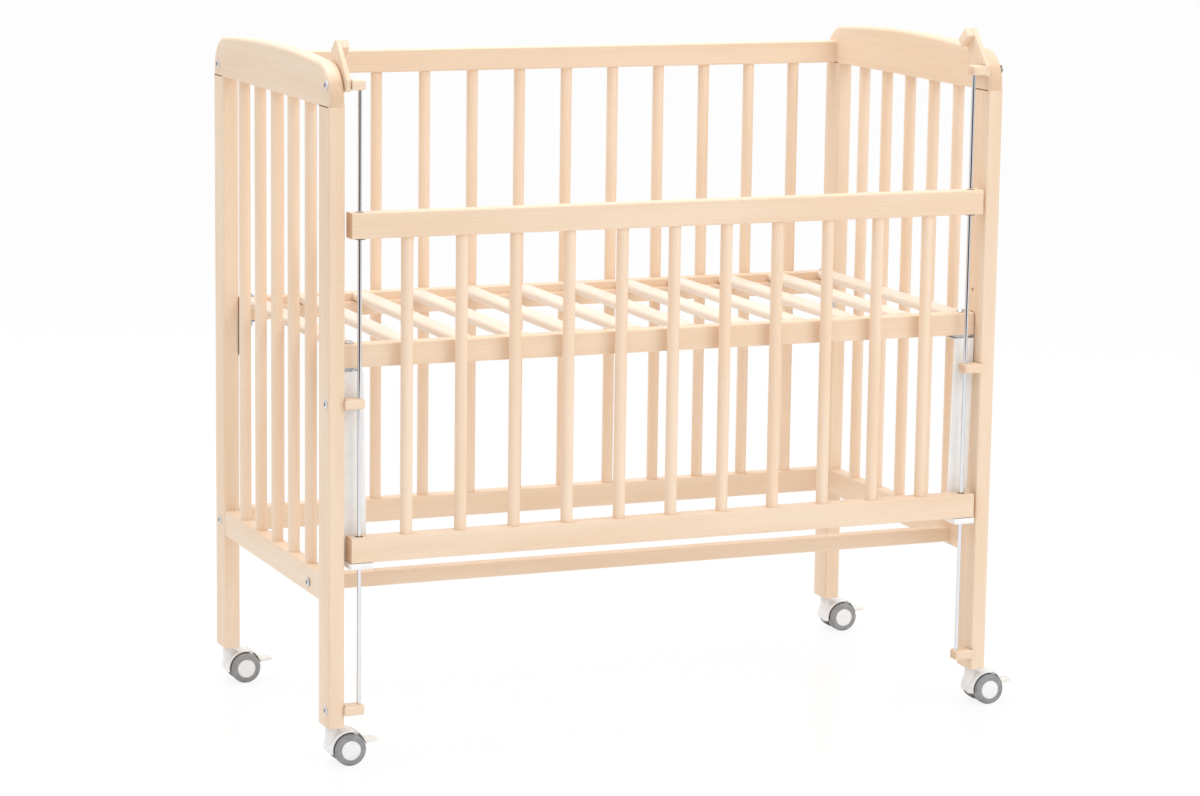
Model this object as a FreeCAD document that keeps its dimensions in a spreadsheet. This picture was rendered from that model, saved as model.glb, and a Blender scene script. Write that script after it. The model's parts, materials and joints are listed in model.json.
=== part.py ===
import FreeCAD, Part
import math
import os
import re

import Sketcher
from FreeCAD import Placement, Rotation, Vector

# Bedside sleeper crib in beech, with a front side that slides on two steel rods.
# X runs along the length, Y from the open front to the rear, Z up from the floor.
# Shapes are laid out from the middle of the four posts; home_x and home_y then
# bring the middle of the whole outline to the origin.  All sizes in millimetres.

doc = FreeCAD.newDocument("BedsideCrib")
sizes = doc.addObject("Spreadsheet::Sheet", "Sizes")
places = doc.addObject("Spreadsheet::Sheet", "Places")
sheet_of = {}


def full(formula, here=None):
    """Put the sheet's name before each word of a formula that a sheet holds."""
    def named(match):
        word = match.group()
        home = sheet_of.get(word)
        if home is None or home is here:
            return word
        return home.Name + "." + word
    return re.sub(r"[a-z][a-z_0-9]*", named, formula)


def write(sheet, word, text):
    """Fill the next row of a sheet with a word and its value."""
    row = 1 + len([home for home in sheet_of.values() if home is sheet])
    sheet.set("A%d" % row, word)
    sheet.set("B%d" % row, text)
    sheet.setAlias("B%d" % row, word)
    sheet_of[word] = sheet


def value(word):
    """The number that a sheet holds for a word."""
    return float(sheet_of[word].get(word))


# ---------------------------------------------------------------- sizes

SIZES = {
    # end frames, rear side and stretcher
    "crib_length": 960.0,  # over the outer faces of the end frames
    "crib_depth": 500.0,  # over the front and rear faces of the posts
    "post_wide": 22.0,  # post along the length, also the arched rail's thickness
    "post_deep": 42.0,  # post from front to rear
    "post_foot": 52.0,  # underside of the posts above the floor
    "post_top": 857.0,  # seam between post and arched rail
    "post_round": 3.0,  # rounding of the posts' edges
    "arch_rise": 62.0,  # crown of the arched rail above the seam
    "arch_shoulder": 50.5,  # height of the arc's ends above the seam
    "arch_corner": 46.0,  # large rounding of the arched rail's two corners
    "arch_round": 5.0,  # rounding along the arched rail's upper edges
    "end_rail_thick": 20.0,  # end low rail along the length
    "end_rail_high": 36.0,  # end low rail's height
    "end_rail_low": 214.0,  # underside of the end low rails
    "rail_round": 2.0,  # rounding of the straight rails' edges
    "spindle_r": 8.0,  # radius of every spindle
    "tenon": 10.0,  # how deep a spindle enters a rail
    "wood_fit": 0.05,  # radial room of a glued peg
    "peg_room": 0.3,  # room behind the end of a peg
    "end_spindles": 5,  # spindles in each end
    "end_first": 64.0,  # first and last end spindle from the posts' inner edges
    "rear_rail_thick": 24.0,  # rear rails from front to rear
    "rear_top_high": 31.0,  # rear top rail's height
    "rear_low_high": 33.0,  # rear low rail's height
    "rear_low": 217.0,  # underside of the rear low rail
    "rear_spindles": 12,  # spindles in the rear
    "rear_first": 64.2,  # first and last rear spindle from the posts' inner faces
    "stretcher_deep": 20.0,  # front stretcher from front to rear
    "stretcher_high": 20.0,  # front stretcher's height
    "stretcher_low": 219.0,  # underside of the front stretcher
    "stretcher_back": 84.0,  # middle of the stretcher behind the posts' front face
    "dowel_r": 4.0,  # radius of a frame dowel
    "dowel_long": 30.0,  # length of a frame dowel
    "dowel_apart": 26.0,  # distance between the two dowels on a post's top
    "low_dowel_apart": 18.0,  # distance between the two dowels on a low rail's end
    # fasteners
    "bolt_r": 3.0,  # radius of a connector bolt
    "bolt_long": 58.0,  # connector bolt under its head
    "bolt_room": 0.3,  # radial room around bolts and screws
    "head_r": 7.0,  # radius of the domed heads
    "head_proud": 2.5,  # height of the domed heads
    "head_key": 2.0,  # half width of the hexagon key hole in a head
    "barrel_r": 5.0,  # radius of a barrel nut
    "barrel_long": 14.0,  # length of a barrel nut
    "barrel_back": 30.0,  # barrel nut's axis behind the end of its rail
    "screw_r": 2.5,  # radius of a bracket screw
    "screw_end": 15.5,  # how deep a screw enters its bracket from the frame
    # guide rods and their brackets
    "rod_r": 3.5,  # radius of a guide rod
    "rod_in": 21.0,  # guide rod's axis inside the posts' inner face
    "rod_back": 5.0,  # guide rod's axis behind the posts' front face
    "rod_fit": 0.05,  # radial room of a rod in its brackets
    "rod_cover": 2.0,  # wood left over the ends of a rod
    "bracket_deep": 24.5,  # bracket from front to rear
    "bracket_long": 29.0,  # middle and bottom bracket along the length
    "bracket_high": 15.0,  # middle and bottom bracket's height
    "bracket_round": 8.0,  # rounding of a bracket's free end
    "top_bracket_low": 877.0,  # underside of the top bracket
    "top_bracket_high": 14.0,  # top bracket's height
    "middle_bracket_low": 469.5,  # underside of the middle bracket
    "bottom_bracket_low": 66.0,  # underside of the bottom bracket
    "screw_behind_rod": 5.0,  # bracket screws behind the rod's axis
    # latches
    "latch_thick": 6.4,  # thickness of the latch's arm
    "side_gap": 0.3,  # gap on each side of the latch's arm
    "latch_angle": 42.0,  # lean of the open latch towards the rear, in degrees
    "latch_half": 17.5,  # half width of the latch's arm
    "latch_reach": 68.5,  # end of the arm from its pivot
    "latch_front": 15.0,  # foot of the latch in front of the pivot
    "latch_back": 45.0,  # foot of the latch behind the pivot
    "latch_under": 8.0,  # foot of the latch below the pivot
    "latch_round": 6.0,  # rounding of the latch's outline
    "latch_head_in": 49.0,  # inner face of the latch's head from the pivot
    "latch_head_out": 67.0,  # outer face of the latch's head from the pivot
    "latch_head_half": 14.0,  # half width of the latch's head
    "latch_head_long": 10.3,  # how far the head stands out from the arm
    "pivot_fit": 0.05,  # radial room of a turning pin
    # drop side
    "gate_thick": 24.0,  # drop side's rails from front to rear
    "gate_high": 33.0,  # height of the drop side's rails
    "gate_low": 270.0,  # underside of the lowered drop side
    "gate_clear": 387.0,  # clear height between the drop side's rails
    "drop_spindles": 11,  # spindles in the drop side
    "gate_first": 78.0,  # first and last spindle from the ends of the drop side
    "bush_r": 5.5,  # outer radius of a guide bush
    "flange_r": 7.5,  # radius of a guide bush's flange
    "flange_thick": 1.5,  # thickness of a guide bush's flange
    "slide_fit": 0.1,  # radial room of a guide bush on its rod
    # bed base
    "bed_top": 551.0,  # top of the bed base above the floor
    "bed_rail_high": 30.0,  # height of the bed base's rails
    "bed_rail_gap": 1.0,  # gap between a bed rail's end and the posts
    "bed_front_thick": 22.0,  # thickness of the bed base's front rail
    "bed_rear_thick": 18.0,  # thickness of the bed base's rear rail
    "bed_front_back": 20.0,  # front rail's outer face behind the posts' front face
    "bed_rear_in": 31.0,  # rear rail's outer face inside the posts' rear face
    "ledge_deep": 13.0,  # ledge that carries the slats
    "slat_thick": 12.0,  # thickness of a slat
    "slat_wide": 28.0,  # width of a slat
    "slat_round": 5.0,  # rounding of a slat's edges
    "slat_gap": 0.2,  # gap between a slat's end and the bed rails
    "slats": 12,  # number of slats
    "slat_first": 1.9,  # first and last slat inside the ends of the bed rails
    "bed_bolt_in": 15.0,  # bed bolts inside the posts' inner face
    "bed_bolt_head_r": 6.0,  # radius of a bed bolt's head
    "washer_r": 7.5,  # radius of the washer on a bed rail
    "big_washer_r": 12.0,  # radius of the washer under a bed rail
    "washer_thick": 1.6,  # thickness of the washers
    "nut_high": 6.0,  # height of a bed nut
    "nut_r": 5.8,  # radius over the corners of a bed nut
    "bolt_tip": 1.5,  # bed bolt past its nut
    # metal angles and the rows of holes
    "support_thick": 3.0,  # metal angle's thickness
    "support_long": 28.0,  # metal angle's leg under the bed rail
    "support_wide": 26.0,  # metal angle's width
    "support_down": 48.0,  # metal angle's leg down the post
    "support_back": 34.0,  # middle of an angle inside the posts' outer face
    "hole_r": 2.5,  # radius of the holes in a post's row
    "hole_first": 422.0,  # lowest hole of a post's row
    "hole_pitch": 32.0,  # spacing of a post's row of holes
    "holes": 6,  # holes in a post's row
    "hole_used": 3,  # hole that carries the base, counted from the lowest
    "hole_deep": 14.0,  # depth of the holes
    "hole_back": 29.0,  # row of holes inside the posts' outer face
    "hole_fit": 0.05,  # radial room of a screw in a post's hole
    "support_head_r": 5.0,  # radius of a support screw's head
    # hangers
    "strap_thick": 1.8,  # hanger strap's thickness
    "strap_wide": 30.0,  # hanger strap's width
    "strap_bend": 0.6,  # inner radius of the strap's bends
    "strap_tab": 24.0,  # strap under the bed rail, from front to rear
    "strap_lip": 25.0,  # strap under its foot plate, from front to rear
    "strap_in": 16.0,  # middle of the strap's top inside the posts' inner face
    "foot_wide": 32.0,  # foot plate along the length
    "foot_deep": 26.0,  # foot plate from front to rear
    "foot_thick": 6.0,  # foot plate's thickness
    "foot_hole_r": 8.3,  # hole around the rod in a foot plate
    "foot_round": 4.0,  # rounding of a foot plate's corners
    "foot_edge": 0.8,  # rounding of a foot plate's edges
    "foot_gap": 0.2,  # gap between foot plate and strap
    "rest_gap": 0.3,  # gap under the lowered drop side
    # castors
    "trail": 20.0,  # castor's axle behind its stem
    "wheel_r": 21.0,  # radius of a castor wheel
    "wheel_wide": 16.0,  # width of one wheel
    "wheel_in": 7.0,  # inner face of a wheel from the castor's middle
    "tread_round": 3.0,  # rounding of a tyre's edges
    "hub_r": 14.0,  # radius of a wheel's hub
    "hub_in": 1.0,  # hub's rim inside the tyre's face
    "hub_rim": 2.0,  # radial width of a hub's rim
    "hub_sink": 2.5,  # depth of a hub's sunk ring
    "hub_boss_r": 5.5,  # radius of a hub's raised middle
    "axle_half": 17.0,  # half length of the turning axle
    "axle_r": 3.0,  # radius of the turning axle
    "hood_in": 1.5,  # room between a tyre and the hood
    "hood_thick": 3.0,  # thickness of the hood
    "hood_half": 17.0,  # half width of the hood
    "hood_from_angle": 76.0,  # hood's upper end, in degrees above the trailing side
    "hood_to_angle": 200.0,  # hood's lower end, in degrees above the trailing side
    "web_half": 6.0,  # half thickness of the web between the wheels
    "web_boss_r": 8.0,  # radius of the web around the axle
    "stem_r": 4.0,  # radius of a castor's stem
    "stem_up": 35.0,  # stem inside its post
    "stem_down": 20.0,  # stem below its post
    "boss_r": 11.0,  # radius of the housing around the stem
    "boss_top": 48.0,  # top of the housing around the stem
    "stem_low": 24.0,  # underside of the housing around the stem
    "plate_r": 9.0,  # radius of the stem's flange
    "plate_thick": 2.0,  # thickness of the stem's flange
    "pedal_half": 13.0,  # half width of the brake pedal
    "pedal_thick": 3.0,  # thickness of the brake pedal's shell
    "pedal_reach": 46.0,  # tip of the pedal from the axle
    "pedal_low_angle": 8.0,  # lower end of the pedal's shell, in degrees above level
    "pedal_tip_half": 8.0,  # half width of the pedal's tip
    "pedal_tip_round": 5.0,  # rounding of the tip seen from above
    "pedal_edge": 1.2,  # rounding of the tip's edges
    "pedal_tip_low": 24.5,  # underside of the pedal's tip above the floor
    "pedal_tip_high": 29.0,  # upper side of the pedal's tip above the floor
    "tongue_high": 36.5,  # upper side of the pedal's tongue at the shell
    "hinge_angle": 64.0,  # pedal's hinge, in degrees above the trailing side
    "hinge_out": 26.5,  # pedal's hinge from the axle
    "pin_r": 1.5,  # radius of the pedal's hinge pin
    "knuckle_r": 3.2,  # radius of the pedal's hinge knuckle
}

for word, number in SIZES.items():
    write(sizes, word, str(number))

# ------------------------------------------------- places that follow

PLACES = {
    # end frames
    "post_x": "(crib_length - post_wide) / 2",  # middle of a post
    "post_y": "(crib_depth - post_deep) / 2",  # middle of a post
    "inner_x": "crib_length / 2 - post_wide",  # posts' inner face
    "inner_y": "crib_depth / 2 - post_deep",  # inside of a post
    "end_pitch": "2 * (inner_y - end_first) / (end_spindles - 1)",  # spacing of the end spindles
    "rear_pitch": "2 * (inner_x - rear_first) / (rear_spindles - 1)",  # spacing of the rear spindles
    "front_y": "-crib_depth / 2",  # posts' front face
    "arch_sag": "arch_rise - arch_shoulder",  # height of the arc itself
    "arch_r": "((crib_depth / 2)^2 + arch_sag^2) / (2 * arch_sag)",  # radius of the arc
    "end_rail_top": "end_rail_low + end_rail_high",  # seat of the end spindles
    "rear_low_top": "rear_low + rear_low_high",  # seat of the rear spindles
    "socket_r": "spindle_r + wood_fit",  # radius of a spindle's socket
    "tenon_in": "tenon - peg_room",  # spindle inside its socket
    "stretcher_y": "front_y + stretcher_back",  # middle of the front stretcher
    "stretcher_half": "(crib_length - post_wide - end_rail_thick) / 2",  # stretcher's half length
    "dowel_bore_r": "dowel_r + wood_fit",  # radius of a dowel's bore
    "dowel_bore": "dowel_long / 2 + peg_room",  # depth of a dowel's bore
    "bolt_bore_r": "bolt_r + bolt_room",  # radius of a bolt's bore
    "screw_bore_r": "screw_r + bolt_room",  # radius of a screw's bore
    # guide rods, brackets and drop side
    "rod_x": "inner_x - rod_in",  # guide rod's axis
    "rod_y": "front_y + rod_back",  # guide rod's axis
    "rod_foot": "bottom_bracket_low + rod_cover",  # lower end of a rod
    "rod_head": "top_bracket_low + top_bracket_high - rod_cover",  # upper end of a rod
    "rod_bore_r": "rod_r + rod_fit",  # radius of a rod's bore
    "pivot_y": "rod_y + screw_behind_rod",  # line of the bracket screws
    "pivot_z": "top_bracket_low + top_bracket_high / 2",  # latch's pivot
    "gate_half": "inner_x - latch_thick - 2 * side_gap",  # half length of the drop side
    "gate_pitch": "2 * (gate_half - gate_first) / (drop_spindles - 1)",  # spacing of its spindles
    "bracket_end": "inner_x - bracket_long",  # free end of the brackets
    "latch_x": "inner_x - side_gap - latch_thick / 2",  # middle of the latch's arm
    "gate_top_low": "gate_low + gate_high + gate_clear",  # drop side's top rail
    "bush_bore_r": "bush_r + wood_fit",  # bore for a guide bush
    # bed base and hangers
    "bed_low": "bed_top - bed_rail_high",  # underside of the bed rails
    "ledge_top": "bed_top - slat_thick",  # seat of the slats
    "bed_half": "inner_x - bed_rail_gap",  # half length of a bed rail
    "slat_end": "bed_half - slat_first - slat_wide / 2",  # middle of the last slat
    "slat_pitch": "2 * slat_end / (slats - 1)",  # spacing of the slats
    "bed_front_out": "front_y + bed_front_back",  # outer face of the front rail
    "bed_rear_out": "crib_depth / 2 - bed_rear_in",  # outer face of the rear rail
    "bed_front_in": "bed_front_out + bed_front_thick",  # inner face of the front rail
    "bed_rear_front": "bed_rear_out - bed_rear_thick",  # inner face of the rear rail
    "bed_bolt_x": "inner_x - bed_bolt_in",  # line of the bed bolts
    "front_bolt_y": "bed_front_out + bed_front_thick / 2",  # front bed bolts
    "rear_bolt_y": "bed_rear_out - bed_rear_thick / 2",  # rear bed bolts
    "angle_x": "inner_x",  # outer face of a metal angle
    "support_y": "crib_depth / 2 - support_back",  # middle of a metal angle
    "hole_y": "crib_depth / 2 - hole_back",  # row of holes
    "hole_z": "hole_first + (hole_used - 1) * hole_pitch",  # hole that carries the base
    "washer_low": "bed_low - support_thick - washer_thick",  # underside of the large washer
    "strap_x": "inner_x - strap_in",  # middle of the strap's top
    "strap_front": "bed_front_out - strap_thick",  # front face of the strap
    "foot_top": "gate_low - rest_gap",  # top of the foot plates
    "foot_low": "foot_top - foot_thick",  # underside of the foot plates
    "foot_rear": "strap_front - foot_gap",  # rear edge of the foot plates
    "strap_low": "foot_low - strap_thick",  # underside of the strap's lip
    # castors
    "hood_r": "wheel_r + hood_in",  # inner radius of the hood
    "shell_r": "hood_r + hood_thick",  # outer radius of the hood
    "pedal_r": "hood_r + pedal_thick",  # outer radius of the pedal's shell
    "wheel_out": "wheel_in + wheel_wide",  # outer face of a wheel
    "hinge_x": "trail + hinge_out * cos(hinge_angle)",  # pedal's hinge
    "hinge_z": "wheel_r + hinge_out * sin(hinge_angle)",  # pedal's hinge
    # outline of the whole crib
    "low_x": "-crib_length / 2 - head_proud",  # outermost point on the left
    "high_x": "post_x + trail + pedal_reach",  # outermost point on the right
    "low_y": "foot_rear - foot_deep",  # foremost point
    "high_y": "post_y + wheel_out",  # rearmost point
    "home_x": "-(low_x + high_x) / 2",  # shift that centres the outline
    "home_y": "-(low_y + high_y) / 2",  # shift that centres the outline
}

for word, formula in PLACES.items():
    write(places, word, "=" + full(formula, places))

doc.recompute()

# ---------------------------------------------------------------- ways of working

ROLES = {"x": "YZ_Plane", "y": "XZ_Plane", "z": "XY_Plane"}
AXES = {"x": Vector(1, 0, 0), "y": Vector(0, 1, 0), "z": Vector(0, 0, 1)}
TURNS = {"x": Rotation(Vector(0, 1, 0), 90), "y": Rotation(Vector(1, 0, 0), -90), "z": Rotation()}
SIDES = (("left", "-"), ("right", "+"))
nodes = []


def bind(thing, property_name, formula):
    """Let a property follow a formula."""
    thing.setExpression(property_name, full(formula))


def move(thing, x="0", y="0", z="0"):
    """Move a shape to a point."""
    bind(thing, "Placement.Base.x", x)
    bind(thing, "Placement.Base.y", y)
    bind(thing, "Placement.Base.z", z)
    return thing


def node(thing, label, x="0", y="0", z="0"):
    """Make a shape one of the crib's pieces and stand it at its place."""
    thing.Label = label
    move(thing, "home_x + (%s)" % x, "home_y + (%s)" % y, z)
    nodes.append(thing)
    return thing


def block(x, y, z):
    """A straight block between two formulas on each axis."""
    piece = doc.addObject("Part::Box", "Block")
    for edge, (low, high) in zip(("Length", "Width", "Height"), (x, y, z)):
        bind(piece, edge, "(%s) - (%s)" % (high, low))
    return move(piece, x[0], y[0], z[0])


def rod(axis, radius, length, x="0", y="0", z="0"):
    """A round bar that starts at a point and runs along an axis."""
    piece = doc.addObject("Part::Cylinder", "Rod")
    bind(piece, "Radius", radius)
    bind(piece, "Height", length)
    piece.Placement = Placement(Vector(), TURNS[axis])
    return move(piece, x, y, z)


def group(pieces, name="Group"):
    """Several solids kept apart in one shape."""
    together = doc.addObject("Part::Compound", name)
    together.Links = pieces
    return together


def cut(whole, tools, name="Cut"):
    """A shape without the tools' space."""
    result = doc.addObject("Part::Cut", name)
    result.Base = whole
    result.Tool = tools[0] if len(tools) == 1 else fuse(tools)
    return result


def fuse(pieces, name="Joined"):
    """Several shapes grown into one."""
    result = doc.addObject("Part::MultiFuse", name)
    result.Shapes = pieces
    result.Refine = True
    return result


def copy(piece, name="Copy"):
    """The same shape once more, to be placed elsewhere."""
    return group([piece], name)


def mirrored(piece, label):
    """The same piece on the other end, seen in a mirror across the length."""
    image = doc.addObject("Part::Mirroring", label)
    image.Source = piece
    image.Normal = AXES["x"]
    bind(image, "Base.x", "home_x")
    image.Label = label
    nodes.append(image)
    return image


def body(name):
    """A new turned or cut piece."""
    return doc.addObject("PartDesign::Body", name)


def drawing(owner, axis, offset="0"):
    """A flat drawing across an axis, at a distance along it."""
    sketch = owner.newObject("Sketcher::SketchObject", owner.Name + "Sketch")
    role = ROLES[axis]
    plane = [item for item in owner.Origin.OriginFeatures if item.Role == role][0]
    sketch.AttachmentSupport = (plane, [""])
    sketch.MapMode = "FlatFace"
    bind(sketch, "AttachmentOffset.Base.z", "-(%s)" % offset if axis == "y" else offset)
    return sketch


def pin(sketch, item, end, across, up):
    """Hold a point of a drawing at two formulas."""
    first = sketch.addConstraint(Sketcher.Constraint("DistanceX", item, end, 1.0))
    bind(sketch, "Constraints[%d]" % first, across)
    second = sketch.addConstraint(Sketcher.Constraint("DistanceY", item, end, 1.0))
    bind(sketch, "Constraints[%d]" % second, up)


def outline(sketch, corners):
    """A closed outline of straight lines through its corners."""
    count = len(corners)
    turn = 2.0 * math.pi / count
    start = [Vector(math.cos(turn * i), math.sin(turn * i), 0) for i in range(count)]
    lines = [Part.LineSegment(start[i], start[(i + 1) % count]) for i in range(count)]
    first = sketch.GeometryCount
    sketch.addGeometry(lines, False)
    for i, (across, up) in enumerate(corners):
        following = first + (i + 1) % count
        sketch.addConstraint(Sketcher.Constraint("Coincident", first + i, 2, following, 1))
        pin(sketch, first + i, 1, across, up)


def rectangle(sketch, across, up):
    """An upright rectangle between two formulas each way."""
    corners = [(across[0], up[0]), (across[1], up[0]), (across[1], up[1]), (across[0], up[1])]
    outline(sketch, corners)


def disc(sketch, across, up, radius):
    """A circle around a point."""
    item = sketch.addGeometry(Part.Circle(Vector(), Vector(0, 0, 1), 1.0), False)
    pin(sketch, item, 3, across, up)
    last = sketch.addConstraint(Sketcher.Constraint("Radius", item, 1.0))
    bind(sketch, "Constraints[%d]" % last, radius)


def raised(owner, sketch, length, both=True):
    """Fill a drawing to a thickness, on both sides of it or ahead of it."""
    feature = owner.newObject("PartDesign::Pad", owner.Name + "Pad")
    feature.Profile = sketch
    feature.SideType = "Symmetric" if both else "One side"
    bind(feature, "Length", length)
    return feature


def sunk(owner, sketch, depth):
    """Cut a drawing into the face on which it lies."""
    feature = owner.newObject("PartDesign::Pocket", owner.Name + "Pocket")
    feature.Profile = sketch
    feature.SideType = "Symmetric"
    bind(feature, "Length", "2 * (%s)" % depth)
    return feature


def turned(owner, sketch, axis):
    """Turn a drawing once around an axis."""
    feature = owner.newObject("PartDesign::Revolution", owner.Name + "Turned")
    feature.Profile = sketch
    line = [item for item in owner.Origin.OriginFeatures if item.Role == axis.upper() + "_Axis"][0]
    feature.ReferenceAxis = (line, [""])
    feature.Angle = 360.0
    return feature


def repeated(owner, feature, axis, count, pitch):
    """Repeat a feature along an axis."""
    row = owner.newObject("PartDesign::LinearPattern", owner.Name + "Row")
    row.Originals = [feature]
    line = [item for item in owner.Origin.OriginFeatures if item.Role == axis.upper() + "_Axis"][0]
    row.Direction = (line, [""])
    bind(row, "Length", "(%s - 1) * (%s)" % (count, pitch))
    bind(row, "Occurrences", count)
    owner.Tip = row
    return row


def straight(edge, axis):
    """Whether an edge is a straight line along an axis."""
    if edge.Curve.TypeId != "Part::GeomLine":
        return False
    return abs(edge.tangentAt(edge.FirstParameter).dot(AXES[axis])) > 0.999


def rounded(owner, radius, wanted):
    """Round the edges that a test picks."""
    doc.recompute()
    tip = owner.Tip
    names = ["Edge%d" % (i + 1) for i, edge in enumerate(tip.Shape.Edges) if wanted(edge)]
    feature = owner.newObject("PartDesign::Fillet", owner.Name + "Round")
    feature.Base = (tip, names)
    bind(feature, "Radius", radius)
    return feature


def row_start(count, pitch):
    """First place of a row that is centred on zero."""
    return "-(%s - 1) * (%s) / 2" % (count, pitch)


def sockets(owner, along, face, count, pitch):
    """A centred row of spindle sockets in a rail's upper or lower face."""
    sketch = drawing(owner, "z", face)
    start = row_start(count, pitch)
    centre = (start, "0") if along == "x" else ("0", start)
    disc(sketch, centre[0], centre[1], "socket_r")
    repeated(owner, sunk(owner, sketch, "tenon"), along, count, pitch)


def rail(name, along, half, thick, high):
    """A rail with softened edges, its underside at zero and its middle on the axis."""
    owner = body(name)
    sketch = drawing(owner, along)
    rectangle(sketch, ("-(%s) / 2" % thick, "(%s) / 2" % thick), ("0", high))
    raised(owner, sketch, "2 * (%s)" % half)
    rounded(owner, "rail_round", lambda edge: straight(edge, along))
    return owner


def spindles(count_word, pitch, low, high, along):
    """A centred row of spindles with their ends inside two rails."""
    pieces = []
    for i in range(int(value(count_word))):
        spot = "%s + %d * (%s)" % (row_start(count_word, pitch), i, pitch)
        length = "(%s) - (%s) + 2 * tenon_in" % (high, low)
        x, y = (spot, "0") if along == "x" else ("0", spot)
        pieces.append(rod("z", "spindle_r", length, x, y, "(%s) - tenon_in" % low))
    return group(pieces, "Spindles")


# ---------------------------------------------------------------- end frames

def post(name, row):
    """A left post: a row of blind holes inside, bores for dowels, bolt or screws and the stem."""
    owner = body(name)
    sketch = drawing(owner, "z", "post_foot")
    half = ("-post_wide / 2", "post_wide / 2")
    rectangle(sketch, half, ("-post_deep / 2", "post_deep / 2"))
    raised(owner, sketch, "post_top - post_foot", both=False)
    rounded(owner, "post_round", lambda edge: straight(edge, "z"))

    spot = "%s(hole_y - post_y)" % row
    sketch = drawing(owner, "x", "post_wide / 2")
    disc(sketch, spot, "hole_first", "hole_r")
    repeated(owner, sunk(owner, sketch, "hole_deep"), "z", "holes", "hole_pitch")

    sketch = drawing(owner, "x")
    if row == "-":
        disc(sketch, "pivot_y + post_y", "middle_bracket_low + bracket_high / 2", "screw_bore_r")
        disc(sketch, "pivot_y + post_y", "bottom_bracket_low + bracket_high / 2", "screw_bore_r")
    else:
        disc(sketch, "0", "rear_low + rear_low_high / 2", "bolt_bore_r")
    sunk(owner, sketch, "post_wide")

    sketch = drawing(owner, "z", "post_top")
    disc(sketch, "0", "-dowel_apart / 2", "dowel_bore_r")
    disc(sketch, "0", "dowel_apart / 2", "dowel_bore_r")
    sunk(owner, sketch, "dowel_bore")

    sketch = drawing(owner, "y", "%s(inner_y - post_y)" % row)
    for side in "-+":
        disc(sketch, "0", "end_rail_low + (end_rail_high %s low_dowel_apart) / 2" % side, "dowel_bore_r")
    sunk(owner, sketch, "dowel_bore")

    sketch = drawing(owner, "z", "post_foot")
    disc(sketch, "0", "0", "stem_r + wood_fit")
    sunk(owner, sketch, "stem_up + peg_room")
    return owner


def arched_rail(name):
    """The end's top rail: a low arc between two generously rounded corners."""
    owner = body(name)
    sketch = drawing(owner, "x")
    half = value("crib_depth") / 2
    shoulder = value("arch_shoulder")
    left = Vector(-half, shoulder, 0)
    right = Vector(half, shoulder, 0)
    sketch.addGeometry([
        Part.LineSegment(left, Vector(-half, 0, 0)),
        Part.LineSegment(Vector(-half, 0, 0), Vector(half, 0, 0)),
        Part.LineSegment(Vector(half, 0, 0), right),
        Part.Arc(right, Vector(0, value("arch_rise"), 0), left)], False)
    for first, second in ((0, 1), (1, 2)):
        sketch.addConstraint(Sketcher.Constraint("Coincident", first, 2, second, 1))
    sketch.addConstraint(Sketcher.Constraint("Coincident", 2, 2, 3, 1))
    sketch.addConstraint(Sketcher.Constraint("Coincident", 3, 2, 0, 1))
    pin(sketch, 0, 1, "-crib_depth / 2", "arch_shoulder")
    pin(sketch, 1, 1, "-crib_depth / 2", "0")
    pin(sketch, 2, 1, "crib_depth / 2", "0")
    pin(sketch, 3, 1, "crib_depth / 2", "arch_shoulder")
    middle = sketch.addConstraint(Sketcher.Constraint("DistanceY", 3, 3, -1.0))
    bind(sketch, "Constraints[%d]" % middle, "arch_rise - arch_r")
    raised(owner, sketch, "post_wide")

    def corner(edge):
        return straight(edge, "x") and edge.CenterOfMass.z > 1.0

    def upper(edge):
        return not straight(edge, "x") and edge.CenterOfMass.z > 1.0

    rounded(owner, "arch_corner", corner)
    rounded(owner, "arch_round", upper)
    sockets(owner, "y", "0", "end_spindles", "end_pitch")

    sketch = drawing(owner, "z")
    for side in "-+":
        disc(sketch, "0", "%spost_y - dowel_apart / 2" % side, "dowel_bore_r")
        disc(sketch, "0", "%spost_y + dowel_apart / 2" % side, "dowel_bore_r")
    sunk(owner, sketch, "dowel_bore")

    sketch = drawing(owner, "x")
    disc(sketch, "post_y", "rear_top_high / 2", "bolt_bore_r")
    disc(sketch, "pivot_y", "pivot_z - post_top", "screw_bore_r")
    sunk(owner, sketch, "post_wide")
    return owner


def end_low_rail(name):
    """The end's low rail, with sockets above and a bore for the stretcher's bolt."""
    owner = rail(name, "y", "inner_y", "end_rail_thick", "end_rail_high")
    sockets(owner, "y", "end_rail_high", "end_spindles", "end_pitch")
    for end in "-+":
        sketch = drawing(owner, "y", "%sinner_y" % end)
        for side in "-+":
            disc(sketch, "0", "(end_rail_high %s low_dowel_apart) / 2" % side, "dowel_bore_r")
        sunk(owner, sketch, "dowel_bore")
    sketch = drawing(owner, "x")
    disc(sketch, "stretcher_y", "stretcher_low + stretcher_high / 2 - end_rail_low", "bolt_bore_r")
    sunk(owner, sketch, "end_rail_thick")
    return owner


def end_frames():
    """Posts, arched rail, low rail and spindles of both ends."""
    front = node(post("FrontPost", "-"), "left_front_post", "-post_x", "-post_y")
    rear = node(post("RearPost", "+"), "left_rear_post", "-post_x", "post_y")
    mirrored(front, "right_front_post")
    mirrored(rear, "right_rear_post")
    top = arched_rail("ArchedRail")
    low = end_low_rail("EndLowRail")
    for side, sign in SIDES:
        x = "%spost_x" % sign
        node(copy(top), side + "_top_rail", x, "0", "post_top")
        node(copy(low), side + "_low_rail", x, "0", "end_rail_low")
        row = spindles("end_spindles", "end_pitch", "end_rail_top", "post_top", "y")
        node(row, side + "_spindles", x)


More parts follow.
